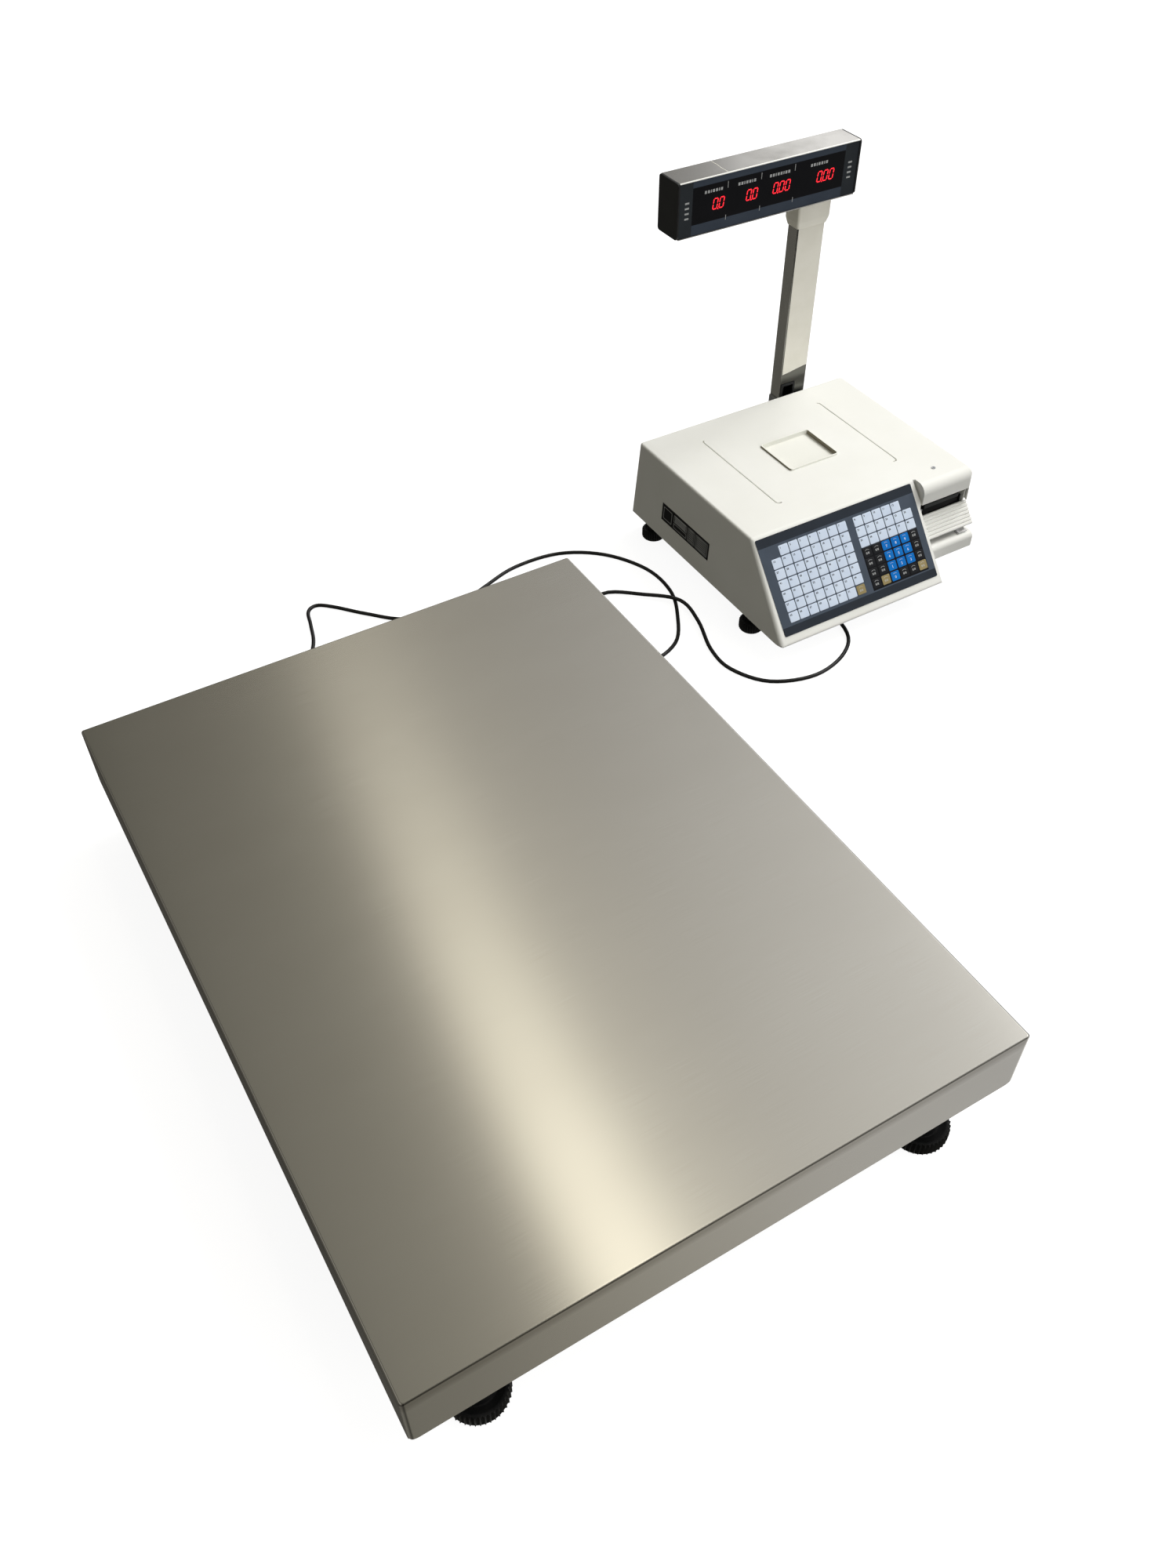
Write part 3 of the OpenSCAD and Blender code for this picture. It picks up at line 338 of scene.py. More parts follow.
# Films and prints: colour, its other tone, roughness and gloss
for film, color, other, roughness, gloss in (
        ("slate_overlay", (74, 83, 96), (70, 79, 91), 0.5, 0.2),
        ("slate_band", (44, 50, 59), (41, 47, 55), 0.5, 0.2),
        ("key_well", (17, 18, 22), (14, 15, 19), 0.5, 0.2),
        ("key_print", (214, 226, 242), (206, 219, 238), 0.4, 0.3),
        ("key_blue", (6, 116, 200), (4, 108, 192), 0.4, 0.2),
        ("key_gold", (158, 143, 100), (148, 133, 92), 0.45, 0.25),
        ("key_black", (22, 23, 28), (18, 19, 24), 0.4, 0.3),
        ("white_print", (236, 238, 242), (226, 228, 232), 0.5, 0.2),
        ("black_print", (20, 23, 32), (16, 19, 28), 0.5, 0.2),
        ("grey_print", (190, 192, 192), (178, 180, 180), 0.5, 0.2),
        ("display_film", (62, 71, 84), (58, 67, 80), 0.5, 0.25),
        ("display_band", (44, 49, 54), (40, 45, 50), 0.5, 0.25),
        ("display_window", (14, 14, 18), (11, 11, 15), 0.42, 0.15),
        ("label_foil", (15, 15, 16), (20, 20, 21), 0.5, 0.2),
        ("protective_film", (255, 252, 240), (250, 247, 234), 0.4, 0.5)):
    mottled(film, color, other, roughness, (40, 3), bump=((2200, 1), 0.006, 0.5),
            Specular_IOR_Level=gloss)

cable.data.materials.append(M["cable_jacket"])


# ---------------------------------------------------------------- mesh helpers

def arc(x, y, r, start, end, n):
    """Points on an arc, angles in degrees."""
    return [(x + r * COS(math.radians(start + (end - start) * k / n)),
             y + r * SIN(math.radians(start + (end - start) * k / n))) for k in range(n + 1)]


def round_rect(x0, y0, x1, y1, r, n=5, extras=()):
    """Outline of a rectangle with round corners, anticlockwise, with extra points on the
    straight sides at the given distances from the corner arcs."""
    out = []
    corners = [(x1 - r, y0 + r, -90), (x1 - r, y1 - r, 0),
               (x0 + r, y1 - r, 90), (x0 + r, y0 + r, 180)]
    for cx, cy, a in corners:
        first = Vector((COS(math.radians(a)), SIN(math.radians(a))))
        along = Vector((-first.y, first.x))
        start = Vector((cx, cy)) + first * r
        end = Vector((cx, cy)) + along * r
        out += [tuple(start - along * d) for d in reversed(extras)]
        out += arc(cx, cy, r, a, a + 90, n)
        out += [tuple(end - first * d) for d in extras]
    return out


def inset_rect(bounds, inset, r, n=5, extras=()):
    """The outline of a rectangle x0, y0, x1, y1 that has shrunk by the inset on every side."""
    x0, y0, x1, y1 = bounds
    return round_rect(x0 + inset, y0 + inset, x1 - inset, y1 - inset, r, n, extras)


class Shape:
    """Points in millimetres from an origin, with faces. It becomes one object."""

    def __init__(self, origin=CONSOLE):
        self.origin = origin
        self.points = []
        self.faces = []
        self.marks = []

    def add(self, points, faces, mark=0):
        base = len(self.points)
        self.points += [Vector(p) for p in points]
        self.faces += [[base + i for i in f] for f in faces]
        self.marks += [mark] * len(faces)
        return self

    def loft(self, loops, mark=0, closed=False):
        """Skins between loops of equal length, capped at both ends unless closed on itself."""
        n = len(loops[0])
        points = [p for loop in loops for p in loop]
        spans = len(loops) if closed else len(loops) - 1
        faces = []
        for i in range(spans):
            a, b = i * n, (i + 1) % len(loops) * n
            faces += [[a + k, a + (k + 1) % n, b + (k + 1) % n, b + k] for k in range(n)]
        if not closed:
            faces.append(list(range(n))[::-1])
            faces.append([(len(loops) - 1) * n + k for k in range(n)])
        return self.add(points, faces, mark)

    def prism(self, outline, axis, low, high, mark=0):
        """An outline in the plane square to the axis, pulled from low to high.
        The outline's two numbers are YZ for X, XZ for Y and XY for Z."""
        put = {"x": lambda p, v: (v, p[0], p[1]), "y": lambda p, v: (p[0], v, p[1]),
               "z": lambda p, v: (p[0], p[1], v)}[axis]
        return self.loft([[put(p, low) for p in outline], [put(p, high) for p in outline]], mark)

    def box(self, low, high, mark=0):
        x0, y0, z0 = low
        x1, y1, z1 = high
        return self.prism([(x0, y0), (x1, y0), (x1, y1), (x0, y1)], "z", z0, z1, mark)

    def lathe(self, profile, centre, axis="z", n=64, ribs=0, mark=0):
        """Turns (radius, height, rib depth) about an axis through the centre."""
        put = {"x": lambda r, a, h: (h, r * COS(a), r * SIN(a)),
               "y": lambda r, a, h: (r * SIN(a), h, r * COS(a)),
               "z": lambda r, a, h: (r * COS(a), r * SIN(a), h)}[axis]
        loops = []
        for row in profile:
            depth = row[2] if len(row) > 2 else 0
            loops.append([Vector(centre) + Vector(put(
                row[0] - depth * (0.5 - 0.5 * COS(ribs * 2 * PI * k / n)) ** 0.7 if depth else row[0],
                2 * PI * k / n, row[1])) for k in range(n)])
        return self.loft(loops, mark)

    def object(self, name, materials, body=None, slot=None, replaces=(), bevel=0, smooth=40):
        mesh = bpy.data.meshes.new(name)
        mesh.from_pydata([(p + self.origin) * MM for p in self.points], [], self.faces)
        for key in materials:
            mesh.materials.append(M[key])
        mesh.polygons.foreach_set("material_index", self.marks)
        work = bmesh.new()
        work.from_mesh(mesh)
        bmesh.ops.recalc_face_normals(work, faces=work.faces)
        work.to_mesh(mesh)
        work.free()
        made = add_object(name, mesh)
        mesh.shade_smooth()
        if bevel:
            add_bevel(made, bevel)
        elif smooth:
            mesh.set_sharp_from_angle(angle=math.radians(smooth))
            weigh_normals(made)
        else:
            mesh.shade_flat()
        if body:
            hand_over(made, body, slot or materials[0], *replaces)
        return made


def hand_over(piece, body, slot, *nodes):
    """Attaches a piece to the body it moves with and hides the nodes it stands for. The slot is not used."""
    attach(piece, body)
    if nodes:
        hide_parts(*nodes)


def add_bevel(piece, width, segments=3, angle=30):
    bevel = piece.modifiers.new("bevel", "BEVEL")
    bevel.width = width * MM
    bevel.segments = segments
    bevel.limit_method = "ANGLE"
    bevel.angle_limit = math.radians(angle)
    bevel.harden_normals = True
    bevel.use_clamp_overlap = True


def weigh_normals(piece):
    """Keeps flat faces flat beside their rounded edges."""
    modifier = piece.modifiers.new("normals", "WEIGHTED_NORMAL")
    modifier.keep_sharp = True
    modifier.weight = 80


def soften(piece, degrees, flat_mm=4.2):
    """Keeps every broad face flat and rounds only the narrow faces between them.
    A face is broad if twice its area is over flat_mm times its outline."""
    mesh = piece.data
    mesh.shade_smooth()
    limit = COS(math.radians(degrees))
    near = [[] for _ in mesh.vertices]
    broad = []
    for face in mesh.polygons:
        spots = [mesh.vertices[i].co for i in face.vertices]
        outline = sum((a - b).length for a, b in zip(spots, spots[1:] + spots[:1]))
        broad.append(2 * face.area > flat_mm * MM * outline)
        for i in face.vertices:
            near[i].append(face.index)
    normals = [None] * len(mesh.loops)
    for face in mesh.polygons:
        for loop in face.loop_indices:
            normal = face.normal
            if not broad[face.index]:
                group = [mesh.polygons[i] for i in near[mesh.loops[loop].vertex_index]
                         if mesh.polygons[i].normal.dot(face.normal) > limit]
                flats = [f for f in group if broad[f.index]]
                if flats:
                    normal = max(flats, key=lambda f: f.area).normal
                else:
                    normal = sum((f.normal * f.area for f in group), Vector())
            normals[loop] = normal.normalized() if normal.length else face.normal
    mesh.normals_split_custom_set(normals)


def apply_modifiers(piece):
    """Makes the modifiers' result the piece's own mesh."""
    graph = bpy.context.evaluated_depsgraph_get()
    result = bpy.data.meshes.new_from_object(piece.evaluated_get(graph))
    old = piece.data
    piece.modifiers.clear()
    piece.data = result
    bpy.data.meshes.remove(old)


def boolean(piece, shape, operation="DIFFERENCE"):
    """Cuts a shape out of a piece, or joins it to the piece."""
    cutter = shape.object("cutter", [])
    cutter.data.materials.append(piece.data.materials[0])
    modifier = piece.modifiers.new("boolean", "BOOLEAN")
    modifier.operation = operation
    modifier.solver = "EXACT"
    modifier.object = cutter
    apply_modifiers(piece)
    bpy.data.objects.remove(cutter)


# ---------------------------------------------------------------- platform

COVER_W = (cover_high.x - cover_low.x) / MM
COVER_L = (cover_high.y - cover_low.y) / MM
COVER_TOP = cover_high.z / MM
COVER_BOTTOM = cover_low.z / MM
COVER_CORNER = 3
SKIRT_CORNER = 9
SKIRT_STEPS = (1.2, 3, 5, 8, 11)
SHEET = 1.5
BEND = 2.2
BEND_STEPS = 6


def skirt_loop(inset, z, lift=False):
    """One loop round the cover. The skirt's lower corners are rounded where lift is set."""
    r = max(COVER_CORNER - inset, 0.4)
    loop = []
    for x, y in inset_rect((0, 0, COVER_W, COVER_L), inset, r, 4, SKIRT_STEPS):
        d = max(min(x, COVER_W - x), min(y, COVER_L - y))
        raised = 0
        if lift and d < SKIRT_CORNER:
            raised = SKIRT_CORNER - math.sqrt(SKIRT_CORNER ** 2 - (SKIRT_CORNER - d) ** 2)
        loop.append((x, y, z + raised))
    return loop


loops = [skirt_loop(SHEET + 1.5, COVER_TOP - SHEET), skirt_loop(SHEET, COVER_TOP - SHEET - 1.5),
         skirt_loop(SHEET, COVER_BOTTOM, True), skirt_loop(SHEET * 0.75, COVER_BOTTOM, True),
         skirt_loop(0.25, COVER_BOTTOM, True), skirt_loop(0, COVER_BOTTOM + 0.4, True)]
for k in range(BEND_STEPS + 1):
    a = PI / 2 * k / BEND_STEPS
    loops.append(skirt_loop(BEND * (1 - COS(a)), COVER_TOP - BEND + BEND * SIN(a)))
Shape(PLATFORM).loft(loops).object("platform_pan", ["brushed_stainless"], "cover",
                                   replaces=["platform_cover"], smooth=50)


def stud_rings(r, depth, z0, z1, pitch):
    """Profile of a threaded rod."""
    rows = []
    z = z0
    while z < z1 - pitch:
        rows += [(r - depth, z), (r, z + pitch * 0.4), (r, z + pitch * 0.6)]
        z += pitch
    return rows + [(r - depth, z1 - 0.6), (r - depth - 0.6, z1)]


def levelling_foot(node, disc_h, hub_r, hub_top, stud_r, ribs):
    """A ribbed disc with a dished top and a raised ring, on a threaded stud."""
    low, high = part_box(node)
    r = (high.x - low.x) / 2 / MM
    top = high.z / MM
    centre = Vector(((low.x + high.x) / 2 / MM, (low.y + high.y) / 2 / MM, 0))
    rib = 0.09 * r + 0.4
    profile = [(r - 4, 0), (r - 1.6, 0), (r, 1.6, rib), (r, disc_h - 1.6, rib),
               (r - 1.2, disc_h - 0.2, rib * 0.5), (r - rib - 1.4, disc_h), (r - rib - 2.4, disc_h - 0.6),
               (hub_r + 1.6, disc_h - 2.4), (hub_r, disc_h - 2), (hub_r - 0.6, hub_top - 1.2),
               (hub_r - 1.6, hub_top - 0.2), (hub_r - 2.6, hub_top),
               (stud_r + 1.6, hub_top), (stud_r + 1.2, hub_top - 0.8), (stud_r - 0.5, hub_top - 0.8)]
    shape = Shape(Vector((0, 0, 0)))
    shape.lathe(profile, centre, n=ribs * 6, ribs=ribs)
    shape.object(node + "_disc", ["black_rubber"], node, replaces=[node], smooth=38)
    stud = Shape(Vector((0, 0, 0)))
    stud.lathe(stud_rings(stud_r, 0.45, hub_top - 2, top, 1.5), centre, n=32)
    stud.object(node + "_stud", ["zinc_steel"], node, smooth=60)


for side in ("front_left", "front_right", "rear_left", "rear_right"):
    levelling_foot("platform_foot_" + side, disc_h=16, hub_r=17, hub_top=24, stud_r=6, ribs=42)
    levelling_foot("console_foot_" + side, disc_h=14, hub_r=9, hub_top=23.7, stud_r=4, ribs=30)


# ---------------------------------------------------------------- console case

CASE_W = 349
CASE_TOP = 140
CASE_LOW = 29
FLAT = 261
SLOPE = math.radians(50)
FRONT = FLAT + (CASE_TOP - CASE_LOW) / math.tan(SLOPE)
BODY_W = 261.5
NOSE_LEFT = 264
NOSE = 284.5
NOSE_LOW = 112
BACK_LEAN = 7
SIDE_LEAN = 6
RIGHT_LEAN = 3
NOSE_R = 14


def on_side(z, lean=SIDE_LEAN):
    """How far a wall leans out at a level."""
    return lean * (CASE_TOP - z) / (CASE_TOP - CASE_LOW)


def down_slope(x, s, h, top=(-FLAT, CASE_TOP)):
    """A point by a slope whose top edge is at y and z: s down the slope, h out of it."""
    return (x, top[0] - s * COS(SLOPE) - h * SIN(SLOPE), top[1] - s * SIN(SLOPE) + h * COS(SLOPE))


def case_body():
    slope_at_nose = CASE_TOP - (NOSE - FLAT) * math.tan(SLOPE)
    p = [(0, 0, CASE_TOP), (CASE_W, 0, CASE_TOP), (CASE_W, -NOSE, CASE_TOP),
         (BODY_W, -NOSE, CASE_TOP), (BODY_W, -FLAT, CASE_TOP), (0, -FLAT, CASE_TOP),
         (-SIDE_LEAN, BACK_LEAN, CASE_LOW), (CASE_W + RIGHT_LEAN, BACK_LEAN, CASE_LOW),
         (CASE_W + RIGHT_LEAN, -NOSE, CASE_LOW), (BODY_W, -NOSE, CASE_LOW),
         (BODY_W, -FRONT, CASE_LOW), (-SIDE_LEAN, -FRONT, CASE_LOW), (BODY_W, -NOSE, slope_at_nose)]
    faces = [[0, 1, 2, 3, 4, 5], [5, 4, 12, 10, 11], [0, 5, 11, 6], [1, 0, 6, 7], [2, 1, 7, 8],
             [3, 2, 8, 9, 12], [4, 3, 12], [12, 9, 10], [6, 11, 10, 9, 8, 7]]
    # Rounding radius of each edge
    edges = {(4, 5): 3.5, (0, 5): 3.5, (0, 1): 3, (1, 2): 5, (2, 3): NOSE_R, (5, 11): 5.5,
             (10, 11): 6.5, (10, 12): 3, (0, 6): 5, (1, 7): 12, (2, 8): 6}
    piece = Shape().add(p, faces).object("console_shell", ["ivory_abs"])
    widest = max(edges.values())
    marks = piece.data.attributes.new("bevel_weight_edge", "FLOAT", "EDGE")
    for edge in piece.data.edges:
        key = tuple(sorted(edge.vertices))
        marks.data[edge.index].value = edges.get(key, 0) / widest
    bevel = piece.modifiers.new("bevel", "BEVEL")
    bevel.width = widest * MM
    bevel.segments = 8
    bevel.limit_method = "WEIGHT"
    bevel.use_clamp_overlap = False
    apply_modifiers(piece)
    return piece


case = case_body()
WALL = 3
ROOF = CASE_TOP - WALL
BELOW = CASE_LOW - 1
PAST = 2
# Rooms inside: the electronics to the left, the printer bay to the right
inner_front = FRONT - WALL / SIN(SLOPE)
rim_front = FLAT - WALL / SIN(SLOPE) + WALL / math.tan(SLOPE)
inner_left, inner_right, inner_back = WALL - SIDE_LEAN, BODY_W - WALL, BACK_LEAN - WALL
boolean(case, Shape().loft([
    [(inner_left, -inner_front - 1, BELOW), (inner_right, -inner_front - 1, BELOW),
     (inner_right, inner_back, BELOW), (inner_left, inner_back, BELOW)],
    [(WALL, -rim_front, ROOF), (inner_right, -rim_front, ROOF),
     (inner_right, -WALL, ROOF), (WALL, -WALL, ROOF)]]))
nose_middle = (-NOSE + NOSE_R, CASE_TOP - NOSE_R)
nose_line = [(inner_back, BELOW), (-WALL, ROOF), (-NOSE + NOSE_R, ROOF)]
nose_line += arc(*nose_middle, NOSE_R - WALL, 90, 180, 6)[1:] + [(-NOSE + WALL, BELOW)]
boolean(case, Shape().loft([
    [(BODY_W, y, z) for y, z in nose_line],
    [(CASE_W - WALL + on_side(z, RIGHT_LEAN), y, z) for y, z in nose_line]]))
# The mouth of the bay, and its right end, open below the nose's side
MOUTH_D = 12.5
SIDE_MOUTH_D = 9.5
SIDE_MOUTH_TOP = 92.5
boolean(case, Shape().box((BODY_W, -NOSE - PAST, CASE_LOW - 3), (CASE_W - WALL, -NOSE + MOUTH_D, NOSE_LOW)))
boolean(case, Shape().box((CASE_W - WALL - 1, -NOSE - PAST, CASE_LOW - 3),
                          (CASE_W + 10, -NOSE + SIDE_MOUTH_D, SIDE_MOUTH_TOP)))
# The nose's left end, and the gap beside the keypad's slope
nose_end = [(-FLAT - 1, NOSE_LOW), (-FLAT - 1, CASE_TOP - 1)]
nose_end += arc(*nose_middle, NOSE_R - 0.3, 90, 180, 8) + [(-NOSE + 0.3, NOSE_LOW)]
boolean(case, Shape().prism(nose_end, "x", NOSE_LEFT, NOSE_LEFT + 2.5), "UNION")
boolean(case, Shape().box((BODY_W, -NOSE - PAST, NOSE_LOW - 1), (NOSE_LEFT, -FLAT - 1.5, CASE_TOP + PAST)))
# The opening of the pan seat
SEAT = (135, -163, 216, -92)
SEAT_R = 4.5
SEAT_GAP = 0.5
SEAT_HOLE_R = 4.2
boolean(case, Shape().prism(inset_rect(SEAT, SEAT_GAP, SEAT_HOLE_R), "z", 124, 145))
# Pads on the back wall, one under the inlets and one under the pole
PADS = ((22, 135, 88), (240, 307, 125))
PAD_R = 2.5
for x0, x1, z1 in PADS:
    pad = round_rect(x0, CASE_LOW + 0.2, x1, z1, PAD_R)
    boolean(case, Shape().prism(pad, "y", 0.5, CASE_PADS_BACK), "UNION")
# Holes in the back wall: the mains inlet, the cable gland and the display's lead
THROUGH = 9
boolean(case, Shape().box((27.8, -THROUGH, 43.8), (75.2, THROUGH, 66.2)))
for r, x, z, n in ((6.1, 115, 50, 64), (4.1, 264, 112, 24)):
    boolean(case, Shape().lathe([(r, -THROUGH), (r, THROUGH)], (x, 0, z), "y", n))


def strip(line, width):
    """Outline of a strip of even width along an open line."""
    left, right = [], []
    for i, p in enumerate(line):
        a = Vector(line[max(i - 1, 0)])
        b = Vector(line[min(i + 1, len(line) - 1)])
        d = (b - a).normalized()
        side = Vector((-d.y, d.x)) * width / 2
        left.append(tuple(Vector(p) + side))
        right.append(tuple(Vector(p) - side))
    return right + left[::-1]


# Shallow grooves in the top, each with a hooked end
GROOVE_W = 2.1
GROOVE_D = 2.4
for x, hook in ((75, 1), (274, -1)):
    line = [(x + hook * 7, -214.5)] + arc(x + hook * 4, -210.5, 4, -90, -90 - hook * 90, 5)
    line += [(x, -46)] + arc(x + hook * 3, -45, 3, 90 + hook * 90, 90, 4)
    boolean(case, Shape().prism(strip(line, GROOVE_W), "z", CASE_TOP - GROOVE_D, CASE_TOP + PAST))
# Round lower left corner of the keypad's frame
CORNER_R = 11
low_s = (CASE_TOP - CASE_LOW) / SIN(SLOPE)
corner = arc(-SIDE_LEAN + CORNER_R, low_s - CORNER_R, CORNER_R, 180, 90, 8)
corner.append((-SIDE_LEAN - 6, low_s + 6))
boolean(case, Shape().loft([[down_slope(x, s, h) for x, s in corner] for h in (-30, 8)]))
soften(case, 40)
hand_over(case, "base", "ivory_abs", "console_case")

# Square recess with a raised rim, as inset and level
rim = [(0.8, 135.7), (0.8, 139.9), (0, 140), (0, 142), (0.12, 142.28), (0.4, 142.4), (1.6, 142.4),
       (1.88, 142.28), (2, 142), (2.1, 137), (2.25, 136.6), (2.6, 136.4)]
seat = Shape()
seat.loft([[(x, y, z) for x, y in inset_rect(SEAT, i, max(SEAT_R - i, 1.5), 6)] for i, z in rim])
tray = seat.object("seat_tray", ["seat_abs"], "base", slot="ivory_abs", replaces=["seat_insert"], smooth=0)
soften(tray, 35, 1.2)


# ---------------------------------------------------------------- keypad

PANEL_X = 4
PANEL_W = 251
PANEL_TOP = 3.6
PANEL_L = 127
PANEL_T = 0.6
KEY_T = 0.4


def slope(u, s, h):
    """A point on the keypad: u to the right, s down the slope, h out of it."""
    return down_slope(PANEL_X + u, PANEL_TOP + s, h)


def plate(shape, u0, s0, u1, s1, h0, h1, mark=0):
    """A flat rectangular plate on the slope."""
    outline = [(u0, s0), (u1, s0), (u1, s1), (u0, s1)]
    shape.loft([[slope(u, s, h) for u, s in outline] for h in (h0, h1)], mark)


BAND_TOP = 12.2
BAND_LOW = 116.2
PANEL_R = 2
WELL = (147.6, 57.3, 240.6, 114.5)
panel = Shape()
left, right, low = PANEL_R, PANEL_W - PANEL_R, PANEL_L - PANEL_R
top_band = [(0, BAND_TOP), (PANEL_W, BAND_TOP)]
top_band += arc(right, PANEL_R, PANEL_R, 0, -90, 4) + arc(left, PANEL_R, PANEL_R, -90, -180, 4)
low_band = [(PANEL_W, BAND_LOW), (0, BAND_LOW)]
low_band += arc(left, low, PANEL_R, 180, 90, 4) + arc(right, low, PANEL_R, 90, 0, 4)
for outline in (top_band, low_band):
    panel.loft([[slope(u, s, h) for u, s in outline] for h in (0.0, PANEL_T)], 1)
plate(panel, 0, BAND_TOP, PANEL_W, BAND_LOW, 0, PANEL_T)
plate(panel, *WELL, 0, PANEL_T + 0.04, mark=2)
panel.object("keypad_panel", ["slate_overlay", "slate_band", "key_well"], "base",
             replaces=["keypad_overlay"], smooth=0)

KEY_W = 14.2
KEY_L = 12.7
PITCH_U = 15.5
PITCH_S = 14.05
LEFT_U = 14
RIGHT_U = 148.5
ROW_S = 15.5
GOLD_KEYS = {("left", 6, 7), ("right", 6, 1), ("right", 6, 5)}
# Each number key's row and column, with its number
BLUE_KEYS = {(3, 2): 7, (3, 3): 8, (3, 4): 9, (4, 2): 4, (4, 3): 5, (4, 4): 6,
             (5, 2): 1, (5, 3): 2, (5, 4): 3, (6, 2): 0}


def key_place(block, row, col):
    start = LEFT_U if block == "left" else RIGHT_U
    return start + PITCH_U * col, ROW_S + PITCH_S * row


def key_rows():
    """Every key as block, row, column, kind and number."""
    number = 1
    for row in range(7):
        for col in range(1 if row == 0 else 0, 8):
            if ("left", row, col) in GOLD_KEYS:
                yield "left", row, col, "key_gold", None
            else:
                yield "left", row, col, "key_print", number
                number += 1
        for col in range(5 if row == 0 else 6):
            if row < 3:
                yield "right", row, col, "key_print", number
                number += 1
            elif ("right", row, col) in GOLD_KEYS:
                yield "right", row, col, "key_gold", None
            elif (row, col) in BLUE_KEYS:
                yield "right", row, col, "key_blue", BLUE_KEYS[row, col]
            else:
                yield "right", row, col, "key_black", None


def add_text(shape, text, u, s, size, place, h, weight):
    """Numerals set flat on a surface, their left end and baseline at u and s."""
    curve = bpy.data.curves.new("numeral", "FONT")
    curve.body = text
    curve.size = size
    curve.offset = weight
    curve.resolution_u = 2
    holder = add_object("numeral", curve)
    graph = bpy.context.evaluated_depsgraph_get()
    mesh = bpy.data.meshes.new_from_object(holder.evaluated_get(graph))
    points = [place(u + v.co.x, s - v.co.y, h) for v in mesh.vertices]
    shape.add(points, [list(f.vertices) for f in mesh.polygons])
    bpy.data.objects.remove(holder)
    bpy.data.curves.remove(curve)
    bpy.data.meshes.remove(mesh)


def band(shape, u, s, start, end, h):
    """A thin printed arc on the slope."""
    outer = arc(u, s, BAND_R, start, end, 10)
    inner = arc(u, s, BAND_R - BAND_W, start, end, 10)
    points = [slope(a, b, h) for a, b in outer + inner[::-1]]
    shape.add(points, [[i, i + 1, 20 - i, 21 - i] for i in range(10)], 1)


BAND_R = 4.6
BAND_W = 0.45
KEY_TOP = PANEL_T + KEY_T
PRINT_H = KEY_TOP + 0.03
# A key's sides and its domed top, as inset and height
KEY_RINGS = ((0, PANEL_T), (0, PANEL_T + 0.2), (0.15, PANEL_T + 0.32), (0.6, KEY_TOP - 0.04),
             (2.4, KEY_TOP), (4.2, KEY_TOP + 0.01))
key_shapes = {kind: Shape() for kind in ("key_print", "key_gold", "key_blue", "key_black")}
dark_print = Shape()
light_print = Shape()
for block, row, col, kind, number in key_rows():
    u, s = key_place(block, row, col)
    w, l = (KEY_W, KEY_L) if kind == "key_print" else (KEY_W - 0.9, KEY_L - 0.6)
    u0, s0 = u + (KEY_W - w) / 2, s + (KEY_L - l) / 2
    bounds = (u0, s0, u0 + w, s0 + l)
    key_shapes[kind].loft([[slope(a, b, h) for a, b in inset_rect(bounds, i, max(1.2 - i, 0.3), 3)]
                           for i, h in KEY_RINGS])
    middle_u, middle_s = u + KEY_W / 2, s + KEY_L / 2
    if kind == "key_print":
        add_text(dark_print, str(number), u + 1.7, s + 4.3, 3.5, slope, PRINT_H, 0.09)
    elif kind == "key_blue":
        add_text(light_print, str(number), middle_u - 1.3, middle_s + 3.0, 4.8, slope, PRINT_H, 0.05)
        band(light_print, middle_u, middle_s + 0.6, -125, -55, PRINT_H)
    else:
        band(light_print, middle_u, middle_s + 0.6, -135, -45, PRINT_H)
        for step in (-2.7, -1.5, 0.4, 1.6):
            plate(light_print, middle_u + step, middle_s - 0.3, middle_u + step + 0.7, middle_s + 2.5,
                  PRINT_H - 0.02, PRINT_H, mark=1)
for kind, shape in key_shapes.items():
    shape.object(kind + "_caps", [kind], "base", slot="key_print", smooth=50,
                 replaces=["keypad_keys"] if kind == "key_print" else ())
dark_print.object("key_numbers", ["black_print"], "base", slot="key_print", smooth=0)
light_print.object("key_marks", ["white_print", "grey_print"], "base", slot="key_print", smooth=0)


# ---------------------------------------------------------------- rating plate, left blank

def on_wall(y, z, h):
    return (-on_side(z) - h, y, z)


def wall_plate(shape, y0, z0, y1, z1, h0, h1, mark=0):
    outline = [(y0, z0), (y1, z0), (y1, z1), (y0, z1)]
    shape.loft([[on_wall(y, z, h) for y, z in outline] for h in (h0, h1)], mark)


FOIL_T = 0.45
PRINT_LOW, PRINT_TOP = 0.4, 0.49
RULE = 0.8
tag = Shape()
wall_plate(tag, -180, 58, -68, 84, 0, FOIL_T)
for y0, z0, y1, z1 in ((-92, 62, -72, 80), (-128, 61, -97, 68), (-128, 70, -97, 80.5),
                       (-147, 61, -131, 81), (-177, 61, -150, 81)):
    for rule in ((y0, z0, y1, z0 + RULE), (y0, z1 - RULE, y1, z1),
                 (y0, z0, y0 + RULE, z1), (y1 - RULE, z0, y1, z1)):
        wall_plate(tag, *rule, PRINT_LOW, PRINT_TOP, 1)
# Columns of bars: ends, lowest level, rise from bar to bar, thickness and count
for y0, y1, z0, rise, thick, count in ((-125.5, -99.5, 71.3, 2.3, 1.4, 4), (-144.5, -133.5, 63, 3, 1.2, 6),
                                       (-174.5, -152.5, 63, 3, 1.2, 6)):
    for k in range(count):
        wall_plate(tag, y0, z0 + rise * k, y1, z0 + rise * k + thick, PRINT_LOW, PRINT_TOP, 1)
tag.object("rating_foil", ["label_foil", "grey_print"], "base", replaces=["rating_plate"], smooth=0)


# ---------------------------------------------------------------- pole and display

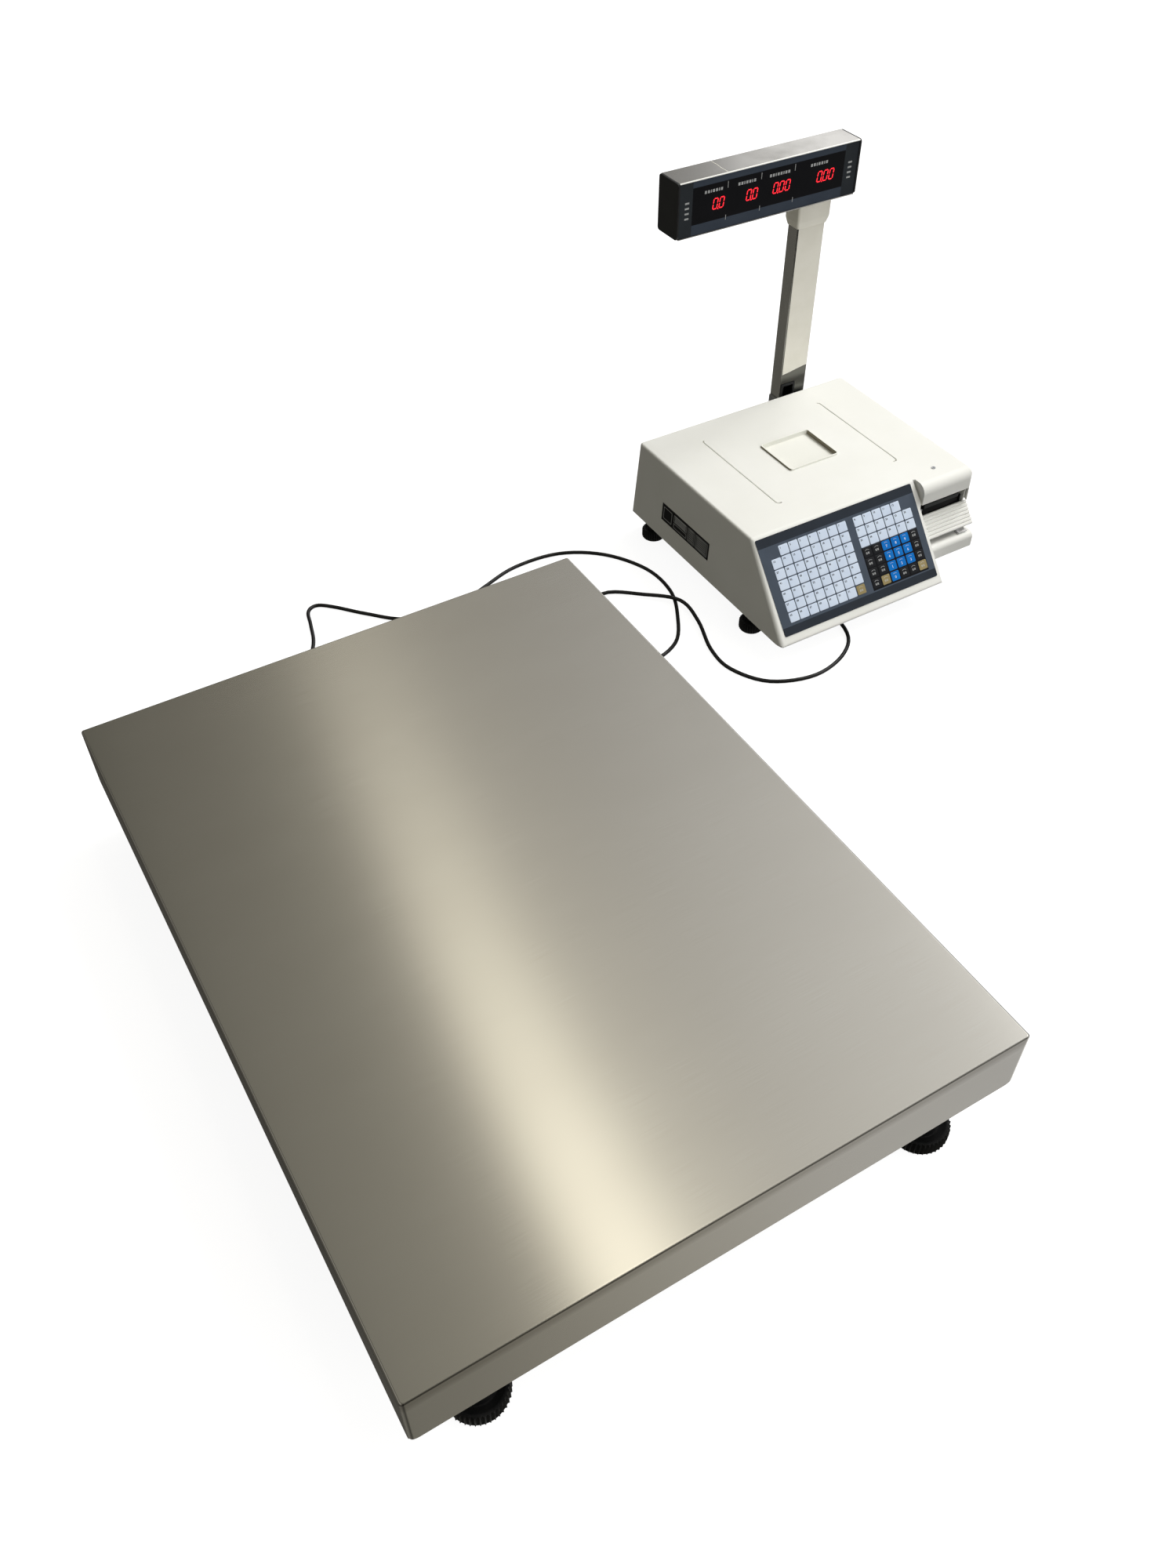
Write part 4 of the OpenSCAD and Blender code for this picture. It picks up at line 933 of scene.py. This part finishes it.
POLE = (251, 18.5, 296, 40.5)
POLE_LOW = 36
POLE_TOP = 403
POLE_WALL = 1.5
POLE_SCREWS_Z = (60, 92)
outer = round_rect(*POLE, 2.4)
inner = inset_rect(POLE, POLE_WALL, 1)
tube = Shape().loft([
    [(x, y, z) for x, y in outline]
    for outline, z in ((outer, POLE_LOW), (outer, POLE_TOP), (inner, POLE_TOP), (inner, POLE_LOW))
], closed=True).object("pole_tube", ["pole_stainless"])
boolean(tube, Shape().box((253, 17, 104), (275, 21, 143)))
for z in POLE_SCREWS_Z:
    boolean(tube, Shape().lathe([(2.55, 240), (2.55, 310)], (0, 29.5, z), "x", 24))
soften(tube, 40)
hand_over(tube, "base", "brushed_stainless", "pole")

# Protective film on the front of the pole, cut a little askew at its lower end
film_edge = [(252.6, 160), (262, 161), (276, 163.5), (290, 165.5), (294.4, 165.8)]
film_front = Shape()
film_front.prism([(252.6, 371)] + film_edge + [(294.4, 371)], "y", POLE[1] - 0.12, POLE[1] - 0.01)
film_front.object("pole_film", ["protective_film"], "base", slot="display_film", smooth=0)

SLEEVE = (247.2, 14.7, 299.8, 44.3)
sleeve_rows = [[(x, y, z) for x, y in outer] for z in (403, 370)]
for i, z in ((2.9, 370), (2.4, 370.5), (0.3, 378.5), (0, 380.5), (0, 405)):
    sleeve_rows.append([(x, y, z) for x, y in inset_rect(SLEEVE, i, 3.2)])
Shape().loft(sleeve_rows).object("pole_sleeve", ["protective_film"], "base", slot="ivory_abs",
                                 replaces=["display_sleeve"], smooth=35)

D_X0, D_X1 = 48, 329
D_Y0, D_Y1 = 5, 48
D_Z0, D_Z1 = 405, 473.9
SKIN = 1.2
FOLD_R = 2.6
FRONT_FOLD_R = 1.6
FOLD_Y, FOLD_LOW, FOLD_TOP = D_Y1 - FOLD_R, D_Z0 + FOLD_R, D_Z1 - FOLD_R
housing = Shape()
bend_out = [(D_Y0, D_Z0)] + arc(FOLD_Y, FOLD_LOW, FOLD_R, -90, 0, 5)
bend_out += arc(FOLD_Y, FOLD_TOP, FOLD_R, 0, 90, 5)
lip_first = len(bend_out)
bend_out += arc(D_Y0 + FRONT_FOLD_R, D_Z1 - FRONT_FOLD_R, FRONT_FOLD_R, 90, 170, 4)
bend_in = [(D_Y0 + 0.6, D_Z1 - SKIN - 0.6)] + arc(FOLD_Y, FOLD_TOP, FOLD_R - SKIN, 90, 0, 5)
bend_in += arc(FOLD_Y, FOLD_LOW, FOLD_R - SKIN, 0, -90, 5) + [(D_Y0, D_Z0 + SKIN)]
housing.prism(bend_out + bend_in, "x", D_X0 + 3, D_X1 - 3)
# The front fold's rounding gets a paler, half-metal colour: a painted highlight along the fold.
for k in range(lip_first, lip_first + 4):
    housing.marks[k] = 1
housing.object("display_shell", ["bright_stainless", "fold_highlight"], "base", slot="brushed_stainless",
               replaces=["display_housing"], smooth=40)
top_film = Shape()
top_film.prism(strip([(122, D_Y0 + 2), (121.4, 20), (122.8, 32), (122.2, D_Y1 - 3)], 0.7), "z",
               D_Z1 - 0.05, D_Z1 + 0.09)
top_film.object("display_film_edge", ["protective_film"], "base", slot="display_film", smooth=0)

CAP_W = 3
LIP_L = 12
for hand, x0 in (("left", D_X0), ("right", D_X1 - CAP_W)):
    cap = Shape()
    rows = [(0.9, 0), (0.25, 0.25), (0, 0.9), (0, CAP_W)]
    lip = (D_X0 + CAP_W - 0.1, D_X0 + LIP_L)
    if hand == "right":
        rows = [(i, CAP_W - t) for i, t in rows][::-1]
        lip = (D_X1 - LIP_L, D_X1 - CAP_W + 0.1)
    cap.loft([[(x0 + t, y, z) for y, z in inset_rect((D_Y0, D_Z0, D_Y1, D_Z1), i, 4 - i, 6)]
              for i, t in rows])
    cap.box((lip[0], D_Y0 + 6, D_Z0 + 4), (lip[1], D_Y1 - 3, D_Z0 + 6))
    cap.object("display_cap_" + hand, ["black_plastic"], "base", replaces=["display_end_" + hand], smooth=35)

FRONT_Y = D_Y0 + 0.8
FRONT_Z = (406.4, 419.1, 464.5, 472.6)
FRONT_X = (51.2, 70.5, 304.4, 325.8)
front = Shape()
for x0, x1, z0, z1, mark in ((FRONT_X[0], FRONT_X[1], FRONT_Z[0], FRONT_Z[3], 1),
                             (FRONT_X[2], FRONT_X[3], FRONT_Z[0], FRONT_Z[3], 1),
                             (FRONT_X[1], FRONT_X[2], FRONT_Z[2], FRONT_Z[3], 0),
                             (FRONT_X[1], FRONT_X[2], FRONT_Z[0], FRONT_Z[1], 0),
                             (FRONT_X[1], FRONT_X[2], FRONT_Z[1], FRONT_Z[2], 2)):
    front.box((x0, FRONT_Y, z0), (x1, FRONT_Y + 2.5, z1), mark)
front.object("display_panel", ["display_film", "display_band", "display_window"], "base",
             replaces=["display_front"], smooth=0)

# The lit segments of a nought, as their ends in parts of the digit's width and height
SEGMENTS = (((0, 1), (1, 1)), ((1, 1), (1, 0.5)), ((1, 0.5), (1, 0)), ((0, 0), (1, 0)),
            ((0, 0.5), (0, 0)), ((0, 1), (0, 0.5)))
DIGIT_W = 6.2
DIGIT_H = 12.6
STROKE = 1.4
LEAN = 0.14
PRINT_Y = FRONT_Y - 0.05


def zero(shape, x, z):
    """The lit outline of a seven segment nought, its lower left segment end at x and z."""
    for (ax, az), (bx, bz) in SEGMENTS:
        a = Vector((ax * DIGIT_W, az * DIGIT_H))
        b = Vector((bx * DIGIT_W, bz * DIGIT_H))
        d = (b - a).normalized()
        side = Vector((-d.y, d.x)) * STROKE / 2
        a += d * 0.35
        b -= d * 0.35
        tip = d * STROKE / 2
        ring = [a, a + tip + side, b - tip + side, b, b - tip - side, a + tip - side]
        points = [(x + p.x + LEAN * p.y, PRINT_Y, z + p.y) for p in ring]
        shape.add(points, [[0, 1, 2, 3, 4, 5]])


def dot(shape, x, z, r=0.95):
    shape.add([(x + a, PRINT_Y, z + b) for a, b in arc(0, 0, r, 0, 330, 11)], [list(range(12))])


digits = Shape()
DIGIT_Z = 433
DIGIT_STEP = 9.4
for start, count in ((101, 2), (151.6, 2), (192.8, 3), (262, 3)):
    for k in range(count):
        zero(digits, start + DIGIT_STEP * k, DIGIT_Z)
    dot(digits, start + DIGIT_W + 1.7, DIGIT_Z - 0.4)
digits.object("display_digits", ["lit_segments"], "base", slot="display_film", smooth=0)

ticks = Shape()


def tick(x0, x1, z0, z1):
    ticks.box((x0, PRINT_Y, z0), (x1, FRONT_Y + 0.1, z1))


for x, z0, z1 in ((122.5, 455, 463), (173.2, 455, 463), (225.1, 455, 463), (121.9, 416, 422),
                  (174, 416, 422), (225.6, 416, 422)):
    tick(x - 0.4, x + 0.4, z0, z1)
# Plain marks stand where a legend would be.
for x, x1 in ((88, 112), (138, 162), (186, 216), (250, 276)):
    k = 0
    while x < x1:
        w = 3.0 if k % 3 < 2 else 1.4
        tick(x, x + w, 454.2, 457.8)
        x += w + 1.5
        k += 1
for x in (59.5, 311):
    for k in range(4):
        tick(x, x + 6, 428 + 6.3 * k, 430.2 + 6.3 * k)
ticks.object("display_marks", ["grey_print"], "base", slot="display_film", smooth=0)


# ---------------------------------------------------------------- label printer

LEDGE_Y = -309
LEDGE_BACK = -285
LEDGE_Z = 54
LEDGE_LOW = 31
RAMP_TOP = (-280, 90)
RAMP_L = 34
RIBS = 7


RAMP_X = (267.5, 350)
RAMP_T = 3
guide = Shape()
ridge = []
step = RAMP_L / RIBS
for k in range(RIBS):
    t = k * step
    ridge += [(t + 0.1, -1.5), (t + 0.8, -0.3), (t + 1.3, 0), (t + step - 1.5, 0),
              (t + step - 1.0, -0.3), (t + step - 0.6, -1.5)]
ridge += [(RAMP_L, -1.6), (RAMP_L - 0.3, -RAMP_T), (0.3, -RAMP_T), (0, -1.6)]
guide.loft([[down_slope(x, t, h, RAMP_TOP) for t, h in ridge] for x in RAMP_X])
ramp = guide.object("label_ramp", ["ivory_abs"])
# Room for the platen's gear
boolean(ramp, Shape().lathe([(13.6, 264.3), (13.6, 270.7)], (0, -268, 90), "x", 48))
ramp.data.shade_flat()
hand_over(ramp, "cassette", "ivory_abs", "label_guide")
posts = Shape()
for x in (276, 343.5):
    posts.box((x, -292, LEDGE_Z - 1), (x + 3, -286.5, 77))
posts.object("ramp_posts", ["ivory_abs"], "cassette", bevel=0.4)

ledge = Shape()
ledge_line = arc(LEDGE_Y + 8, LEDGE_Z - 8, 8, 90, 180, 8) + arc(LEDGE_Y + 3, LEDGE_LOW + 3, 3, 180, 270, 4)
ledge_line += arc(LEDGE_BACK - 1, LEDGE_LOW + 1, 1, -90, 0, 2) + arc(LEDGE_BACK - 1, LEDGE_Z - 1, 1, 0, 90, 2)
ledge.prism(ledge_line, "x", 262.5, 348)
drawer = ledge.object("cassette_ledge", ["ivory_abs"])
add_bevel(drawer, 1.6, 3, 60)
apply_modifiers(drawer)
# It is hollow below, with a pocket for the latch
boolean(drawer, Shape().box((265.5, LEDGE_Y + 3.5, LEDGE_LOW - 2), (345, LEDGE_BACK - 3, LEDGE_Z - 6)))
boolean(drawer, Shape().box((325.6, -300, LEDGE_Z - 4), (340.4, -288, LEDGE_Z + 1)))
soften(drawer, 35, 3)
hand_over(drawer, "cassette", "ivory_abs", "cassette_front")

cheek = Shape()
cheek_line = [(-279.6, 111.4), (-276.6, 109), (-273.6, 104.8), (-271.4, 99), (-270.4, 92), (-270.4, 84),
              (-277, 84), (-280.4, 92), (-280.8, 100), (-280.9, 111.4)]
cheek.prism(cheek_line, "x", 343.15, 344.7)
cheek.object("mouth_cheek", ["ivory_abs"], "cassette", bevel=0.3)


# ---------------------------------------------------------------- pieces that keep their CAD shape

slots = {part["node"]: part["material_slot"] for part in frame["record"]["subparts"]}
FINE = 0.35
fine = {"load_cell": 0.6, "console_base": 0.5, "cassette_frame": 0.3, "power_switch": 0.8,
        "mains_inlet": 0.6, "label_roll": 0.3, "pole_grommet": 0.6, "cover_pads": 1.0,
        "platen_roller": 0.3}
WELD_M = 0.00002
replaced = {"platform_cover", "signal_cable", "console_case", "seat_insert", "keypad_overlay", "keypad_keys",
            "rating_plate", "pole", "display_sleeve", "display_housing", "display_end_left",
            "display_end_right", "display_front", "label_guide", "cassette_front"}
for name, node in frame["nodes"].items():
    if name in replaced or "_foot_" in name and name != "platform_foot_nuts":
        continue
    material = M[slots[name]]
    if not node.material_slots:
        node.data.materials.append(material)
    for slot in node.material_slots:
        slot.material = material
    weld = node.modifiers.new("weld", "WELD")
    weld.merge_threshold = WELD_M
    add_bevel(node, fine.get(name, FINE), 2, 35)


# ---------------------------------------------------------------- floor and light

shade = Shade("pale_floor", (0.32, 0.32, 0.32, 1), 0.9, Specular_IOR_Level=0.0,
              Emission_Color=(1, 1, 1, 1), Emission_Strength=0.9)
shade.put("Base Color", shade.tone(shade.noise(3, 3), (0.31, 0.31, 0.31, 1)))
FLOOR_HALF = 20000
FLOOR_Z = -0.1
floor = Shape(Vector((0, 0, 0))).add(
    [(FLOOR_HALF * x, FLOOR_HALF * y, FLOOR_Z) for x, y in ((-1, -1), (1, -1), (1, 1), (-1, 1))],
    [[0, 1, 2, 3]]).object("floor", ["pale_floor"], smooth=0)
floor.visible_diffuse = False
floor.visible_glossy = False


def softbox(name, place, aim, size, power):
    """A white panel light that no surface mirrors, in metres and watts."""
    data = bpy.data.lights.new(name, "AREA")
    data.shape = "RECTANGLE"
    data.size, data.size_y = size
    data.energy = power
    light = add_object(name, data)
    light.location = place
    light.rotation_euler = (Vector(aim) - Vector(place)).to_track_quat("-Z", "Y").to_euler()
    light.visible_glossy = False


softbox("key", (3.6, 0.4, 4.4), (0.1, 0, 0.1), (3.0, 3.0), 202)
softbox("fill", (0.6, -3.2, 1.4), (0.2, 0.2, 0.2), (2.4, 1.6), 38)

world = bpy.data.worlds.new("studio")
bpy.context.scene.world = world
world.use_nodes = True
sky = Graph(world.node_tree)


def color_ramp(source, stops):
    made = sky.node("ValToRGB", Fac=source)
    points = made.color_ramp.elements
    while len(points) < len(stops):
        points.new(0.5)
    for point, (at, color) in zip(points, stops):
        point.position = at
    for point, (at, color) in zip(points, stops):
        point.color = (*color, 1)
    return made.outputs["Color"]


def scaled(color, factor):
    made = sky.tree.nodes.new("ShaderNodeVectorMath")
    made.operation = "SCALE"
    sky.feed(made.inputs[0], color)
    sky.feed(made.inputs["Scale"], factor)
    return made.outputs["Vector"]


direction = sky.node("TexCoord").outputs["Generated"]
side, depth, height = sky.node("SeparateXYZ", Vector=direction).outputs
across = sky.ramp(side, 0, 1, -1, 1)
# From left to right the room falls from dim to dark, rises to a bright wall, and falls
# off again at its right end.
room = color_ramp(across, [
    (0.0, (0.64, 0.62, 0.55)), (0.17, (0.64, 0.62, 0.55)), (0.3, (0.28, 0.27, 0.24)),
    (0.48, (0.06, 0.058, 0.05)), (0.525, (0.29, 0.28, 0.24)), (0.55, (0.31, 0.297, 0.255)),
    (0.585, (0.40, 0.382, 0.33)), (0.62, (0.50, 0.482, 0.425)), (0.66, (0.63, 0.61, 0.555)),
    (0.70, (0.79, 0.775, 0.735)), (0.755, (1.04, 1.03, 1.0)), (0.772, (1.25, 1.24, 1.22)),
    (0.795, (3.9, 3.88, 3.86)), (0.86, (3.4, 3.38, 3.36)), (0.92, (1.0, 0.99, 0.97)),
    (1.0, (0.8, 0.79, 0.77))])
# One warm bright band high up, right of the middle
streak = color_ramp(across, [
    (0.0, (0, 0, 0)), (0.59, (0, 0, 0)), (0.604, (1.9, 1.8, 1.52)), (0.620, (1.9, 1.8, 1.52)),
    (0.640, (0.4, 0.38, 0.33)), (0.68, (0, 0, 0)), (1.0, (0, 0, 0))])
# The room is brighter overhead and straight below than at eye level.
above = sky.ramp(height, 0.13, 1.17, 0.40, 0.95)
down = sky.math("ADD", sky.math("MULTIPLY", height, -1), sky.math("MULTIPLY", depth, -0.3))
under = sky.ramp(down, 0.05, 1.0, 0.72, 0.98)
beside = sky.ramp(depth, 0.05, 0.27, -0.6, 0.6)
level = sky.math("MAXIMUM", sky.math("MAXIMUM", above, under), beside)
band_level = sky.math("POWER", sky.ramp(height, 0, 1, 0.62, 0.93), 2.2)
light = sky.math("ADD", scaled(room, level), scaled(streak, band_level), kind="VectorMath")
# The backdrop itself is plain white.
seen = sky.node("LightPath").outputs["Is Camera Ray"]
background = world.node_tree.nodes["Background"]
sky.feed(background.inputs["Color"], sky.blend(seen, light, (1, 1, 1, 1)))
background.inputs["Strength"].default_value = 1.0

bpy.context.scene.view_settings.view_transform = "Standard"


# ---------------------------------------------------------------- last update

bpy.context.view_layer.update()
